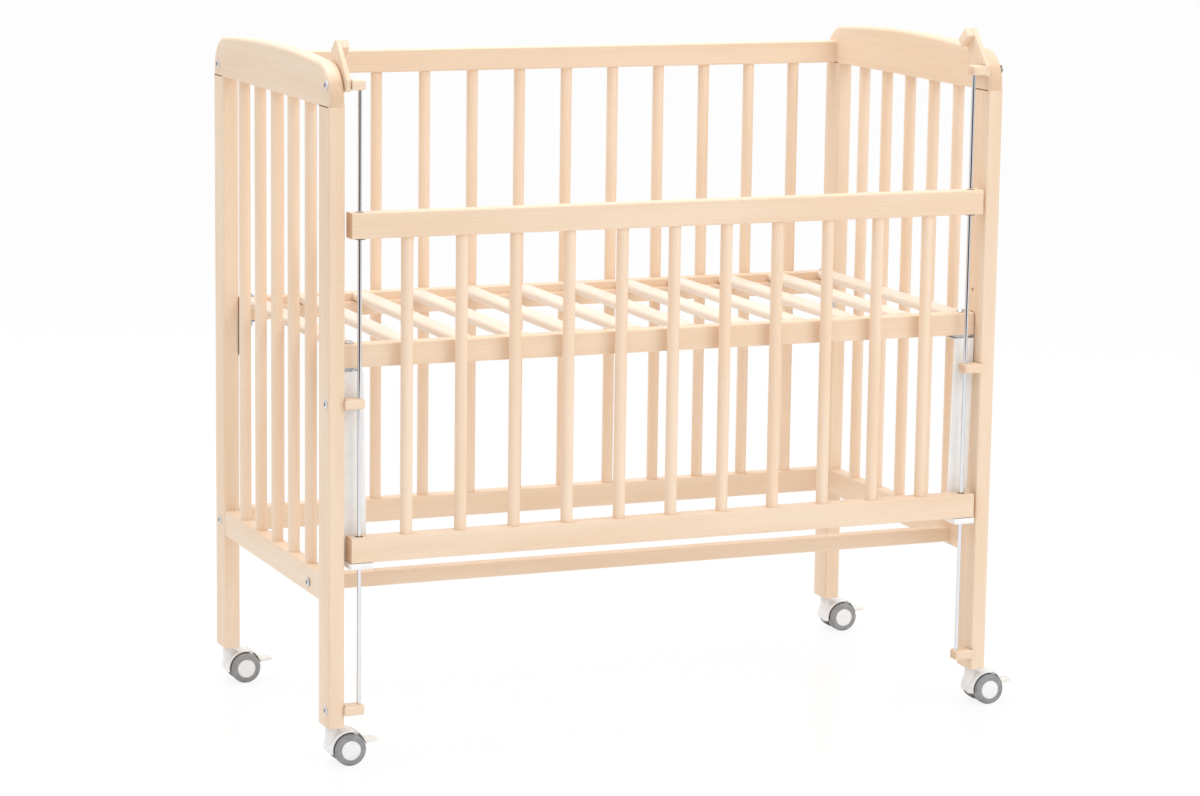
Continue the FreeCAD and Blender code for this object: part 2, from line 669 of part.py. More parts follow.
def frame_dowels():
    """Two dowels on each post's top and two at each end of the low rails."""
    pieces = []
    for _, sign in SIDES:
        x = "%spost_x" % sign
        for row in "-+":
            for side in "-+":
                y = "%spost_y %s dowel_apart / 2" % (row, side)
                pieces.append(rod("z", "dowel_r", "dowel_long", x, y, "post_top - dowel_long / 2"))
                z = "end_rail_low + (end_rail_high %s low_dowel_apart) / 2" % side
                y = "%sinner_y - dowel_long / 2" % row
                pieces.append(rod("y", "dowel_r", "dowel_long", x, y, z))
    node(group(pieces), "frame_dowels")


# ---------------------------------------------------------------- rails between the ends

def joined_rail(name, half, thick, high, passed):
    """A rail held by a bolt at each end, which has passed a post or rail, and barrel nuts from below."""
    owner = rail(name, "x", half, thick, high)
    for end in "-+":
        sketch = drawing(owner, "x", "%s(%s)" % (end, half))
        disc(sketch, "0", "(%s) / 2" % high, "bolt_bore_r")
        sunk(owner, sketch, "bolt_long - %s + peg_room" % passed)
    sketch = drawing(owner, "z")
    for end in "-+":
        disc(sketch, "%s((%s) - barrel_back)" % (end, half), "0", "barrel_r + wood_fit")
    depth = "(%s + barrel_long) / 2 + wood_fit" % high
    sunk(owner, sketch, depth)
    return owner


def rear_side():
    """Rear top rail, low rail and their spindles."""
    top = joined_rail("RearTopRail", "inner_x", "rear_rail_thick", "rear_top_high", "post_wide")
    sockets(top, "x", "0", "rear_spindles", "rear_pitch")
    node(top, "rear_top_rail", "0", "post_y", "post_top")
    low = joined_rail("RearLowRail", "inner_x", "rear_rail_thick", "rear_low_high", "post_wide")
    sockets(low, "x", "rear_low_high", "rear_spindles", "rear_pitch")
    node(low, "rear_low_rail", "0", "post_y", "rear_low")
    row = spindles("rear_spindles", "rear_pitch", "rear_low_top", "post_top", "x")
    node(row, "rear_spindles", "0", "post_y")


def front_stretcher():
    """The thin rail that ties the two end low rails together behind the drop side."""
    half = "stretcher_half"
    piece = joined_rail("Stretcher", half, "stretcher_deep", "stretcher_high", "end_rail_thick")
    node(piece, "front_stretcher", "0", "stretcher_y", "stretcher_low")


def domed_bolt(name, radius, length, head):
    """A bolt along +X with a domed head at zero and a hexagon key hole."""
    owner = body(name)
    sketch = drawing(owner, "y")
    outline(sketch, [
        ("-head_proud", "0"), ("-head_proud", "(%s) * 0.55" % head), ("-head_proud * 0.4", "(%s) * 0.95" % head),
        ("0", head), ("0", radius), (length, radius), (length, "0")])
    turned(owner, sketch, "x")
    sketch = drawing(owner, "x", "-head_proud")
    across = "head_key"
    corner = "head_key / cos(30)"
    side = "head_key * tan(30)"
    outline(sketch, [
        (across, "-" + side), (across, side), ("0", corner),
        ("-" + across, side), ("-" + across, "-" + side), ("0", "-" + corner)])
    sunk(owner, sketch, "head_proud * 0.7")
    return owner


def on_ends(template, spots, turn=True):
    """Copies of a bolt at both ends of the crib, each pointing inwards."""
    pieces = []
    for x, y, z in spots:
        left = copy(template)
        pieces.append(move(left, "-(%s)" % x, y, z))
        right = copy(template)
        right.Placement = Placement(Vector(), Rotation(AXES["z"], 180 if turn else 0))
        pieces.append(move(right, x, y, z))
    return pieces


def fasteners():
    """Bolts, barrel nuts and bracket screws on the outer faces of the ends."""
    rear_top_z = "post_top + rear_top_high / 2"
    rear_low_z = "rear_low + rear_low_high / 2"
    stretcher_z = "stretcher_low + stretcher_high / 2"
    outer = "crib_length / 2"
    bolt = domed_bolt("FrameBolt", "bolt_r", "bolt_long", "head_r")
    short = "(crib_length / 2 - post_x - end_rail_thick / 2)"
    pieces = on_ends(bolt, [
        (outer, "post_y", rear_top_z), (outer, "post_y", rear_low_z),
        (outer + " - " + short, "stretcher_y", stretcher_z)])
    node(group(pieces), "frame_bolts")

    nuts = []
    for x, y, z in (
            ("inner_x - barrel_back", "post_y", rear_top_z),
            ("inner_x - barrel_back", "post_y", rear_low_z),
            ("stretcher_half - barrel_back", "stretcher_y", stretcher_z)):
        for end in "-+":
            drum = rod("z", "barrel_r", "barrel_long", "%s(%s)" % (end, x), y, z + " - barrel_long / 2")
            hole = rod("x", "bolt_r + wood_fit", "4 * barrel_r", "%s(%s) - 2 * barrel_r" % (end, x), y, z)
            nuts.append(cut(drum, [hole]))
    node(group(nuts), "barrel_nuts")

    screw = domed_bolt("BracketScrew", "screw_r", "post_wide + screw_end", "head_r")
    pieces = on_ends(screw, [
        (outer, "pivot_y", "pivot_z"),
        (outer, "pivot_y", "middle_bracket_low + bracket_high / 2"),
        (outer, "pivot_y", "bottom_bracket_low + bracket_high / 2")])
    node(group(pieces), "bracket_screws")


# ---------------------------------------------------------------- rods and brackets

def bracket(name, base, high, below, above):
    """A left bracket: a small block with a rounded free end, bored for rod and screw."""
    owner = body(name)
    sketch = drawing(owner, "z")
    half = ("rod_y - bracket_deep / 2", "rod_y + bracket_deep / 2")
    rectangle(sketch, ("-(%s)" % base, "-bracket_end"), half)
    raised(owner, sketch, high, both=False)

    def free_end(edge):
        return straight(edge, "z") and edge.CenterOfMass.x > -value("bracket_end") - 1.0

    rounded(owner, "bracket_round", free_end)
    rounded(owner, "rail_round / 2", lambda edge: abs(edge.CenterOfMass.z - value_of(high)) < 0.01
            and edge.CenterOfMass.x > -value_of(base) + 0.01)
    sketch = drawing(owner, "z", "(%s + %s) / 2" % (below, above))
    disc(sketch, "-rod_x", "rod_y", "rod_bore_r")
    sunk(owner, sketch, "(%s - (%s)) / 2" % (above, below))
    sketch = drawing(owner, "x", "-(%s)" % base)
    disc(sketch, "pivot_y", "(%s) / 2" % high, "screw_r + wood_fit")
    sunk(owner, sketch, "screw_end + peg_room")
    return owner


def value_of(word):
    """The number of a plain word."""
    return value(word)


def rods():
    """The two guide rods and the three pairs of brackets that hold them."""
    over = "2 * bracket_high"
    for label, base, low, high, below, above in (
            ("top_brackets", "gate_half", "top_bracket_low", "top_bracket_high",
             "-top_bracket_high", "top_bracket_high - rod_cover + peg_room"),
            ("middle_brackets", "inner_x", "middle_bracket_low", "bracket_high",
             "-bracket_high", over),
            ("bottom_brackets", "inner_x", "bottom_bracket_low", "bracket_high",
             "rod_cover - peg_room", over)):
        left = move(copy(bracket("Bracket", base, high, below, above)), "0", "0", low)
        right = doc.addObject("Part::Mirroring", "Bracket")
        right.Source = left
        right.Normal = AXES["x"]
        node(group([left, right]), label)
    for side, sign in SIDES:
        piece = rod("z", "rod_r", "rod_head - rod_foot")
        node(piece, side + "_guide_rod", sign + "rod_x", "rod_y", "rod_foot")


# ---------------------------------------------------------------- latches

def latches():
    """Swing latches: a flat leaning arm on a wide foot, with a block for a head."""
    owner = body("Latch")
    lean = "latch_angle"
    sketch = drawing(owner, "x")
    outline(sketch, [
        ("-latch_front", "-latch_under"),
        ("latch_back", "-latch_under"),
        ("latch_back", "(latch_back * cos(%s) - latch_half) / sin(%s)" % (lean, lean)),
        along_arm("latch_reach", "latch_half"),
        along_arm("latch_reach", "-latch_half"),
        ("-latch_front", "(latch_half - latch_front * cos(%s)) / sin(%s)" % (lean, lean))])
    raised(owner, sketch, "latch_thick")
    rounded(owner, "latch_round", lambda edge: straight(edge, "x"))
    sketch = drawing(owner, "x", "latch_thick / 2")
    outline(sketch, [
        along_arm("latch_head_in", "-latch_head_half"), along_arm("latch_head_in", "latch_head_half"),
        along_arm("latch_head_out", "latch_head_half"), along_arm("latch_head_out", "-latch_head_half")])
    raised(owner, sketch, "latch_head_long", both=False)

    def head_edge(edge):
        return edge.CenterOfMass.x > value("latch_thick") / 2 + 0.1

    rounded(owner, "rail_round / 2", head_edge)
    sketch = drawing(owner, "x")
    disc(sketch, "0", "0", "screw_r + pivot_fit")
    sunk(owner, sketch, "latch_thick")
    node(owner, "left_latch", "-latch_x", "pivot_y", "pivot_z")
    mirrored(owner, "right_latch")


def along_arm(out, aside):
    """A point on the leaning arm: so far out from the pivot, so far to the rear of its line."""
    lean = "latch_angle"
    y = "(%s) * sin(%s) + (%s) * cos(%s)" % (out, lean, aside, lean)
    z = "(%s) * cos(%s) - (%s) * sin(%s)" % (out, lean, aside, lean)
    return y, z


# ---------------------------------------------------------------- drop side

def drop_side():
    """Two rails, their spindles and the plastic bushes that run on the rods."""
    for label, face, low in (("drop_top_rail", "0", "gate_top_low"), ("drop_low_rail", "gate_high", "gate_low")):
        owner = rail("DropRail", "x", "gate_half", "gate_thick", "gate_high")
        sockets(owner, "x", face, "drop_spindles", "gate_pitch")
        sketch = drawing(owner, "z")
        for end in "-+":
            disc(sketch, end + "rod_x", "0", "bush_bore_r")
        sunk(owner, sketch, "2 * gate_high")
        node(owner, label, "0", "rod_y", low)
    row = spindles("drop_spindles", "gate_pitch", "gate_low + gate_high", "gate_top_low", "x")
    node(row, "drop_spindles", "0", "rod_y")

    bush = body("Bush")
    sketch = drawing(bush, "y")
    bore = "rod_r + slide_fit"
    outline(sketch, [
        (bore, "-flange_thick"), ("flange_r", "-flange_thick"), ("flange_r", "0"),
        ("bush_r", "0"), ("bush_r", "gate_high"), (bore, "gate_high")])
    turned(bush, sketch, "z")
    pieces = []
    for low in ("gate_low", "gate_top_low"):
        for end in "-+":
            pieces.append(move(copy(bush), end + "rod_x", "rod_y", low))
    node(group(pieces), "drop_bushes")


# ---------------------------------------------------------------- bed base

def bed_rail(name, outer, inner, way):
    """A rebated rail: full height outside, a ledge for the slats inside."""
    owner = body(name)
    sketch = drawing(owner, "x")
    edge = "(%s) %s ledge_deep" % (inner, way)
    outline(sketch, [
        (outer, "bed_low"), (edge, "bed_low"), (edge, "ledge_top"),
        (inner, "ledge_top"), (inner, "bed_top"), (outer, "bed_top")])
    raised(owner, sketch, "2 * bed_half")
    limit = value("ledge_top") + 0.1

    def upper(line):
        return straight(line, "x") and line.CenterOfMass.z > limit

    rounded(owner, "rail_round", upper)
    sketch = drawing(owner, "z", "bed_low")
    for end in "-+":
        disc(sketch, end + "bed_bolt_x", "(%s + %s) / 2" % (outer, inner), "bolt_bore_r")
    sunk(owner, sketch, "2 * bed_rail_high")
    return owner


def bed_base():
    """Two rebated rails and the slats that lie on their ledges."""
    front = bed_rail("BedFrontRail", "bed_front_out", "bed_front_in", "+")
    node(front, "bed_front_rail")
    rear = bed_rail("BedRearRail", "bed_rear_out", "bed_rear_front", "-")
    node(rear, "bed_rear_rail")

    slat = body("Slat")
    sketch = drawing(slat, "y", "(bed_front_in + bed_rear_front) / 2")
    rectangle(sketch, ("-slat_wide / 2", "slat_wide / 2"), ("ledge_top", "bed_top"))
    raised(slat, sketch, "bed_rear_front - bed_front_in - 2 * slat_gap")
    rounded(slat, "slat_round", lambda edge: straight(edge, "y"))
    start = row_start("slats", "slat_pitch")
    pieces = []
    for i in range(int(value("slats"))):
        pieces.append(move(copy(slat), "%s + %d * slat_pitch" % (start, i)))
    node(group(pieces), "bed_slats")


def bed_supports():
    """Metal angles on the posts, and the bolt stack through each corner of the base."""
    angles = []
    bolts = []
    washers = []
    nuts = []
    screws = []
    screw = domed_bolt("SupportScrew", "hole_r - hole_fit", "support_thick + hole_deep - peg_room", "support_head_r")
    for _, end in SIDES:
        for row, bolt_y in (("-", "front_bolt_y"), ("+", "rear_bolt_y")):
            y = "%ssupport_y" % row
            x = end + "bed_bolt_x"
            angles.append(angle(end, y, bolt_y, row))
            bolts.append(bed_bolt(x, bolt_y))
            washers.append(ring("washer_r", "bed_top", x, bolt_y))
            washers.append(ring("big_washer_r", "washer_low", x, bolt_y))
            nuts.append(bed_nut(x, bolt_y, row))
            piece = copy(screw)
            inwards = 0 if end == "+" else 180
            piece.Placement = Placement(Vector(), Rotation(AXES["z"], inwards))
            screws.append(move(piece, "%s(inner_x - support_thick)" % end, "%shole_y" % row, "hole_z"))
    node(group(angles), "bed_supports")
    node(group(bolts), "bed_bolts")
    node(group(washers), "bed_washers")
    node(group(nuts), "bed_nuts")
    node(group(screws), "support_screws")


def angle(end, y, bolt_y, row):
    """One angle: a leg under the bed rail and a leg down the post's inner face."""
    wide = ("%s - support_wide / 2" % y, "%s + support_wide / 2" % y)
    inner = end + "(inner_x - support_long)"
    upright = end + "(inner_x - support_thick)"
    outer = end + "inner_x"
    top_x = (inner, outer) if end == "+" else (outer, inner)
    down_x = (upright, outer) if end == "+" else (outer, upright)
    top = block(top_x, wide, ("bed_low - support_thick", "bed_low"))
    down = block(down_x, wide, ("bed_low - support_thick - support_down", "bed_low"))
    bolt = rod("z", "bolt_bore_r", "4 * support_thick", end + "bed_bolt_x", bolt_y, "bed_low - 2 * support_thick")
    hole = rod("x", "hole_r + bolt_room", "2 * support_long", end + "inner_x - support_long", "%shole_y" % row, "hole_z")
    return cut(fuse([top, down]), [bolt, hole])


def ring(radius, low, x, y):
    """A flat washer."""
    outer = rod("z", radius, "washer_thick", x, y, low)
    inner = rod("z", "bolt_bore_r", "3 * washer_thick", x, y, low + " - washer_thick")
    return cut(outer, [inner])


def bed_bolt(x, y):
    """A bed bolt with its head on the upper washer."""
    length = "bed_top + washer_thick - washer_low + strap_thick + nut_high + bolt_tip"
    shank = rod("z", "bolt_r", length, x, y, "bed_top + washer_thick - (%s)" % length)
    head = doc.addObject("Part::Cone", "Head")
    bind(head, "Radius1", "bed_bolt_head_r")
    bind(head, "Radius2", "bed_bolt_head_r * 0.6")
    bind(head, "Height", "head_proud")
    move(head, x, y, "bed_top + washer_thick")
    return fuse([shank, head])


def bed_nut(x, y, row):
    """A hexagon nut under the strap at the front, under the large washer at the rear."""
    low = "washer_low - nut_high - strap_thick" if row == "-" else "washer_low - nut_high"
    prism = doc.addObject("Part::Prism", "Nut")
    prism.Polygon = 6
    bind(prism, "Circumradius", "nut_r")
    bind(prism, "Height", "nut_high")
    move(prism, x, y, low)
    hole = rod("z", "bolt_r + wood_fit", "3 * nut_high", x, y, low + " - nut_high")
    return cut(prism, [hole])


# ---------------------------------------------------------------- hangers

def strap():
    """A left strap bent like a Z: tab under the rail, long web leaning inwards, lip below."""
    owner = body("Strap")
    sketch = drawing(owner, "x", "-strap_x")
    tab_end = "bed_front_out + strap_tab"
    lip_end = "strap_front - strap_lip"
    outline(sketch, [
        ("strap_front", "foot_low"), ("strap_front", "washer_low"),
        (tab_end, "washer_low"), (tab_end, "washer_low - strap_thick"),
        ("bed_front_out", "washer_low - strap_thick"), ("bed_front_out", "strap_low"),
        (lip_end, "strap_low"), (lip_end, "foot_low")])
    raised(owner, sketch, "3 * strap_wide")
    thick = value("strap_thick")
    outer = ((value("strap_front"), value("washer_low")), (value("bed_front_out"), value("strap_low")))
    inner = ((value("strap_front"), value("foot_low")), (value("bed_front_out"), value("washer_low") - thick))

    def near(edge, spots):
        centre = edge.CenterOfMass
        return straight(edge, "x") and min(math.hypot(centre.y - y, centre.z - z) for y, z in spots) < 0.01

    rounded(owner, "strap_bend + strap_thick", lambda edge: near(edge, outer))
    rounded(owner, "strap_bend", lambda edge: near(edge, inner))

    sketch = drawing(owner, "y", "bed_front_out")
    high = "washer_low + strap_wide"
    low = "strap_low - strap_wide"
    for side in "-+":
        far = "-strap_x %s 2 * strap_wide" % side
        top = "-strap_x %s strap_wide / 2" % side
        bottom = "-rod_x %s strap_wide / 2" % side
        outline(sketch, [
            (far, low), (bottom, low), (bottom, "foot_low"),
            (top, "washer_low - strap_thick"), (top, high), (far, high)])
    sunk(owner, sketch, "2 * strap_tab")

    sketch = drawing(owner, "z", "washer_low")
    rectangle(sketch, ("-strap_x - strap_wide", "-inner_x + support_thick + side_gap"),
              ("bed_front_out + side_gap", "bed_front_out + 2 * strap_tab"))
    disc(sketch, "-bed_bolt_x", "front_bolt_y", "bolt_bore_r")
    sunk(owner, sketch, "3 * strap_thick")
    sketch = drawing(owner, "z", "strap_low")
    disc(sketch, "-rod_x", "rod_y", "foot_hole_r")
    sunk(owner, sketch, "3 * strap_thick")
    return owner


def foot():
    """A left foot plate with a wide hole that the rod and the bush's flange drop through."""
    owner = body("Foot")
    sketch = drawing(owner, "z", "foot_low")
    rectangle(sketch, ("-rod_x - foot_wide / 2", "-rod_x + foot_wide / 2"), ("foot_rear - foot_deep", "foot_rear"))
    raised(owner, sketch, "foot_thick", both=False)
    rounded(owner, "foot_round", lambda edge: straight(edge, "z"))
    rounded(owner, "foot_edge", lambda edge: not straight(edge, "z"))
    sketch = drawing(owner, "z", "foot_low")
    disc(sketch, "-rod_x", "rod_y", "foot_hole_r")
    sunk(owner, sketch, "2 * foot_thick")
    return owner


def hangers():
    """Both straps and their foot plates."""
    for label, piece in (("hanger_strap", strap()), ("hanger_foot", foot())):
        node(piece, "left_" + label)
        mirrored(piece, "right_" + label)


# ---------------------------------------------------------------- castors

def slice_around_axle(radius, half, start, stop):
    """A slice of a round bar on the axle's line, between two angles above the trailing side."""
    piece = doc.addObject("Part::Cylinder", "Slice")
    bind(piece, "Radius", radius)
    bind(piece, "Height", "2 * (%s)" % half)
    bind(piece, "Angle", "(%s) - (%s)" % (stop, start))
    opening = Rotation(AXES["z"], value(start))
    piece.Placement = Placement(Vector(), Rotation(AXES["x"], 90) * opening)
    return move(piece, "trail", half, "wheel_r")


def housing():
    """The hood over both wheels, the web between them, the stem's housing and the pedal's pin."""
    shell = cut(
        slice_around_axle("shell_r", "hood_half", "hood_from_angle", "hood_to_angle"),
        [rod("y", "hood_r", "4 * hood_half", "trail", "-2 * hood_half", "wheel_r")])
    web = slice_around_axle("hood_r - side_gap", "web_half", "pedal_low_angle", "hood_to_angle")
    spine = slice_around_axle("shell_r", "web_half", "hood_from_angle", "hood_to_angle")
    link = slice_around_axle("hinge_out", "web_half", "hinge_angle", "hood_from_angle")
    boss = rod("y", "web_boss_r", "2 * web_half", "trail", "-web_half", "wheel_r")
    lug = rod("y", "knuckle_r", "2 * web_half", "hinge_x", "-web_half", "hinge_z")
    hinge_pin = rod("y", "pin_r", "2 * pedal_half", "hinge_x", "-pedal_half", "hinge_z")
    neck = cut(rod("z", "boss_r", "boss_top - stem_low", z="stem_low"), [
        rod("y", "hood_r", "wheel_wide + wheel_in", "trail", "web_half", "wheel_r"),
        rod("y", "hood_r", "wheel_wide + wheel_in", "trail", "-web_half - wheel_wide - wheel_in", "wheel_r")])
    whole = fuse([shell, web, spine, link, boss, lug, neck])
    axle = rod("y", "axle_r + pivot_fit", "4 * web_half", "trail", "-2 * web_half", "wheel_r")
    stem = rod("z", "stem_r + pivot_fit", "boss_top", z="post_foot - stem_down - peg_room")
    return fuse([cut(whole, [axle, stem]), hinge_pin], "Housing")


def pedal():
    """A brake pedal: a shell that carries on the hood's curve and a tongue that tapers to its tip."""
    tongue = body("Tongue")
    sketch = drawing(tongue, "y")
    middle = "(hood_r + pedal_r) / 2"
    reach = "trail + sqrt((%s)^2 - (%s - wheel_r)^2)"
    tip = "trail + pedal_reach"
    outline(sketch, [
        (reach % (middle, "pedal_tip_low"), "pedal_tip_low"), (tip, "pedal_tip_low"),
        (tip, "pedal_tip_high"), (reach % (middle, "tongue_high"), "tongue_high")])
    raised(tongue, sketch, "2 * pedal_half")
    sketch = drawing(tongue, "z", "pedal_tip_low")
    for side in "-+":
        outline(sketch, [
            (tip + " + 1", side + "pedal_tip_half"), (tip + " + 1", side + "2 * pedal_half"),
            ("trail + pedal_r", side + "2 * pedal_half"), ("trail + pedal_r", side + "pedal_half")])
    sunk(tongue, sketch, "tongue_high")
    tip_x = value("trail") + value("pedal_reach") - 0.5
    rounded(tongue, "pedal_tip_round", lambda edge: straight(edge, "z") and edge.CenterOfMass.x > tip_x)
    rounded(tongue, "pedal_edge", lambda edge: edge.CenterOfMass.x > tip_x)

    shell = cut(
        slice_around_axle("pedal_r", "pedal_half", "pedal_low_angle", "hinge_angle"),
        [rod("y", "hood_r", "4 * pedal_half", "trail", "-2 * pedal_half", "wheel_r")])
    knuckles = rod("y", "knuckle_r", "2 * pedal_half", "hinge_x", "-pedal_half", "hinge_z")
    slot = rod("y", "knuckle_r + side_gap", "2 * (web_half + side_gap)", "hinge_x", "-web_half - side_gap", "hinge_z")
    bore = rod("y", "pin_r + pivot_fit", "4 * pedal_half", "hinge_x", "-2 * pedal_half", "hinge_z")
    return cut(fuse([shell, knuckles, tongue]), [slot, bore], "Pedal")


def tyre():
    """One grey tyre, a ring with rounded edges, on the axle's line."""
    owner = body("Tyre")
    sketch = drawing(owner, "x")
    rectangle(sketch, ("wheel_in", "wheel_out"), ("hub_r", "wheel_r"))
    turned(owner, sketch, "y")
    limit = value("wheel_r") - 0.01
    rounded(owner, "tread_round", lambda edge: edge.Curve.TypeId == "Part::GeomCircle"
            and edge.Curve.Radius > limit)
    return owner


def hub():
    """One hub: a rim, a sunk ring and a raised middle, with a blind bore for the axle."""
    owner = body("Hub")
    sketch = drawing(owner, "x")
    face = "wheel_out - hub_in"
    outline(sketch, [
        ("wheel_in", "axle_r"), ("wheel_in", "hub_r"), (face, "hub_r"), (face, "hub_r - hub_rim"),
        (face + " - hub_sink", "hub_r - 1.5 * hub_rim"), (face + " - hub_sink", "hub_boss_r + hub_rim / 2"),
        (face, "hub_boss_r"), (face, "0"), ("axle_half", "0"), ("axle_half", "axle_r")])
    turned(owner, sketch, "y")
    return owner


def pair(piece):
    """A wheel's piece and its twin on the other side of the web, on the axle."""
    twin = copy(piece)
    twin.Placement = Placement(Vector(), Rotation(AXES["z"], 180))
    return [move(copy(piece), "trail", "0", "wheel_r"), move(twin, "trail", "0", "wheel_r")]


def castors():
    """Four twin-wheel castors, each on its stem, all trailing the same way."""
    axle = rod("y", "axle_r", "2 * axle_half", "trail", "-axle_half", "wheel_r")
    kinds = (
        ("housing", housing()),
        ("tyres", group(pair(tyre()))),
        ("hubs", group(pair(hub()) + [axle])),
        ("pedal", pedal()))
    stem = fuse([
        rod("z", "stem_r", "stem_up + stem_down", z="post_foot - stem_down"),
        rod("z", "plate_r", "plate_thick", z="post_foot - plate_thick")])
    stems = []
    for side, end in SIDES:
        for row_name, row in (("front", "-"), ("rear", "+")):
            for kind, piece in kinds:
                label = "%s_%s_caster_%s" % (side, row_name, kind)
                node(copy(piece), label, end + "post_x", row + "post_y")
            stems.append(move(copy(stem), end + "post_x", row + "post_y"))
    node(group(stems), "caster_stems")


for build in (end_frames, frame_dowels, rear_side, front_stretcher, fasteners, rods, latches,
              drop_side, bed_base, bed_supports, hangers, castors):
    build()
doc.recompute()

# ---------------------------------------------------------------- test and write

os.makedirs("parts", exist_ok=True)
for thing in doc.Objects:
    if "Invalid" in thing.State or "Error" in thing.State:
        raise RuntimeError("%s: %s" % (thing.Label, thing.State))
for thing in nodes:
    if thing.Shape.isNull() or not thing.Shape.isValid():
        raise RuntimeError("%s has no valid shape" % thing.Label)
for thing in nodes:
    thing.Shape.exportStep("parts/%s.step" % thing.Label)
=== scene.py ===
"""Bedside sleeper crib in pale beech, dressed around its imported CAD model.

The finishes come first, then the pieces that this file makes itself (turned wood and steel,
brackets, latches, castors, joint lines), and last the studio: floor, light and camera.
Profiles, outlines and named sizes are in mm. Places and meshes are in metres, in the CAD's frame.
"""
import json
import math

import bmesh
import bpy
import numpy as np
from mathutils import Matrix, Vector


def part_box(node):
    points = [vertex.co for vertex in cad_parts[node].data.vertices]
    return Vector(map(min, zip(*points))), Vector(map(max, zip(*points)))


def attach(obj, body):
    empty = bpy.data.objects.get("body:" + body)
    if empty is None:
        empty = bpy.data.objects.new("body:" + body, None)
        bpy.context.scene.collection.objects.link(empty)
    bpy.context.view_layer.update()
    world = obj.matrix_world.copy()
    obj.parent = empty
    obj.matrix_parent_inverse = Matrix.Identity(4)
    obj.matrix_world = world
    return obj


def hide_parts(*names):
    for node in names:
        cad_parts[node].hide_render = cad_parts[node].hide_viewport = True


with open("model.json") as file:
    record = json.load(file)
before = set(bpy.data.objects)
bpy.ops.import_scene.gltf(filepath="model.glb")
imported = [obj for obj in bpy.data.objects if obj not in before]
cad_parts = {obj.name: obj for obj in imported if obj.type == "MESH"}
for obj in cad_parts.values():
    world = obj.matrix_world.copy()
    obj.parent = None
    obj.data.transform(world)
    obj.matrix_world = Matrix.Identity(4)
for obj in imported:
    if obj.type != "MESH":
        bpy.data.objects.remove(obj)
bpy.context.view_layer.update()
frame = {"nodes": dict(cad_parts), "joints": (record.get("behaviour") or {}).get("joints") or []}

MM = 0.001

# ------------------------------------------------------------------ colours and shader nodes


def srgb(code):
    """An sRGB hex code as the linear colour that a shader takes."""
    parts = [int(code[i:i + 2], 16) / 255 for i in (1, 3, 5)]
    return [c / 12.92 if c <= 0.04045 else ((c + 0.055) / 1.055) ** 2.4 for c in parts] + [1.0]


def add(tree, kind, inputs=None, **settings):
    """Adds one shader node, with values or links for its sockets, and returns it."""
    made = tree.nodes.new("ShaderNode" + kind)
    for name, setting in settings.items():
        setattr(made, name, setting)
    for name, source in (inputs or {}).items():
        if isinstance(source, bpy.types.NodeSocket):
            tree.links.new(source, made.inputs[name])
        else:
            made.inputs[name].default_value = source
    return made


def new_material(name):
    """A material and its empty node tree."""
    material = bpy.data.materials.new(name)
    material.use_nodes = True
    material.node_tree.nodes.clear()
    return material, material.node_tree


def finish_material(tree, inputs, height, depth):
    """Ends a material with its shader and its relief, whose depth is in metres."""
    bump = add(tree, "Bump", {"Strength": 1.0, "Distance": depth, "Height": height})
    shader = add(tree, "BsdfPrincipled", {**inputs, "Normal": bump.outputs["Normal"]})
    add(tree, "OutputMaterial", {"Surface": shader.outputs["BSDF"]})


def math_node(tree, operation, first, second=0.0):
    """One sum, product or comparison of two values or sockets."""
    return add(tree, "Math", {0: first, 1: second}, operation=operation).outputs[0]


def blend_colour(tree, share, first, second):
    """The first colour, with this share of the second."""
    return add(tree, "Mix", {0: share, 6: first, 7: second}, data_type="RGBA").outputs[2]


def stretched(tree, coords, size):
    """Coordinates divided by a feature's size along each axis, in metres."""
    scale = [1.0 / length for length in size]
    return add(tree, "Mapping", {"Vector": coords, "Scale": scale}).outputs["Vector"]


def ramp(tree, value, low, high):
    """0 below low, 1 above high, smooth between."""
    made = add(tree, "MapRange", {"Value": value, "From Min": low, "From Max": high},
               interpolation_type="SMOOTHSTEP")
    return made.outputs["Result"]


def spread(tree, value, low, high):
    """The middle of a noise, from 0.3 to 0.7, spread over another range."""
    made = add(tree, "MapRange", {"Value": value, "From Min": 0.3, "From Max": 0.7,
                                  "To Min": low, "To Max": high})
    return made.outputs["Result"]


def noise(tree, coords, detail, roughness=0.5):
    """Plain noise over coordinates that are already in feature sizes."""
    made = add(tree, "TexNoise", {"Vector": coords, "Scale": 1.0, "Detail": detail,
                                  "Roughness": roughness})
    return made.outputs["Fac"]


# ------------------------------------------------------------------ finishes

# the turns that bring a grain along each axis to Z
TURN = {"x": (0.0, math.pi / 2, 0.0), "y": (math.pi / 2, 0.0, 0.0), "z": (0.0, 0.0, 0.0)}
BANDS = 3.2  # bands that Blender's wave texture has to one unit
PALE, TAN, FLECK = "#F2DCC4", "#E4C2A0", "#C3986E"
STEEL_SHADE = "#8E9194"


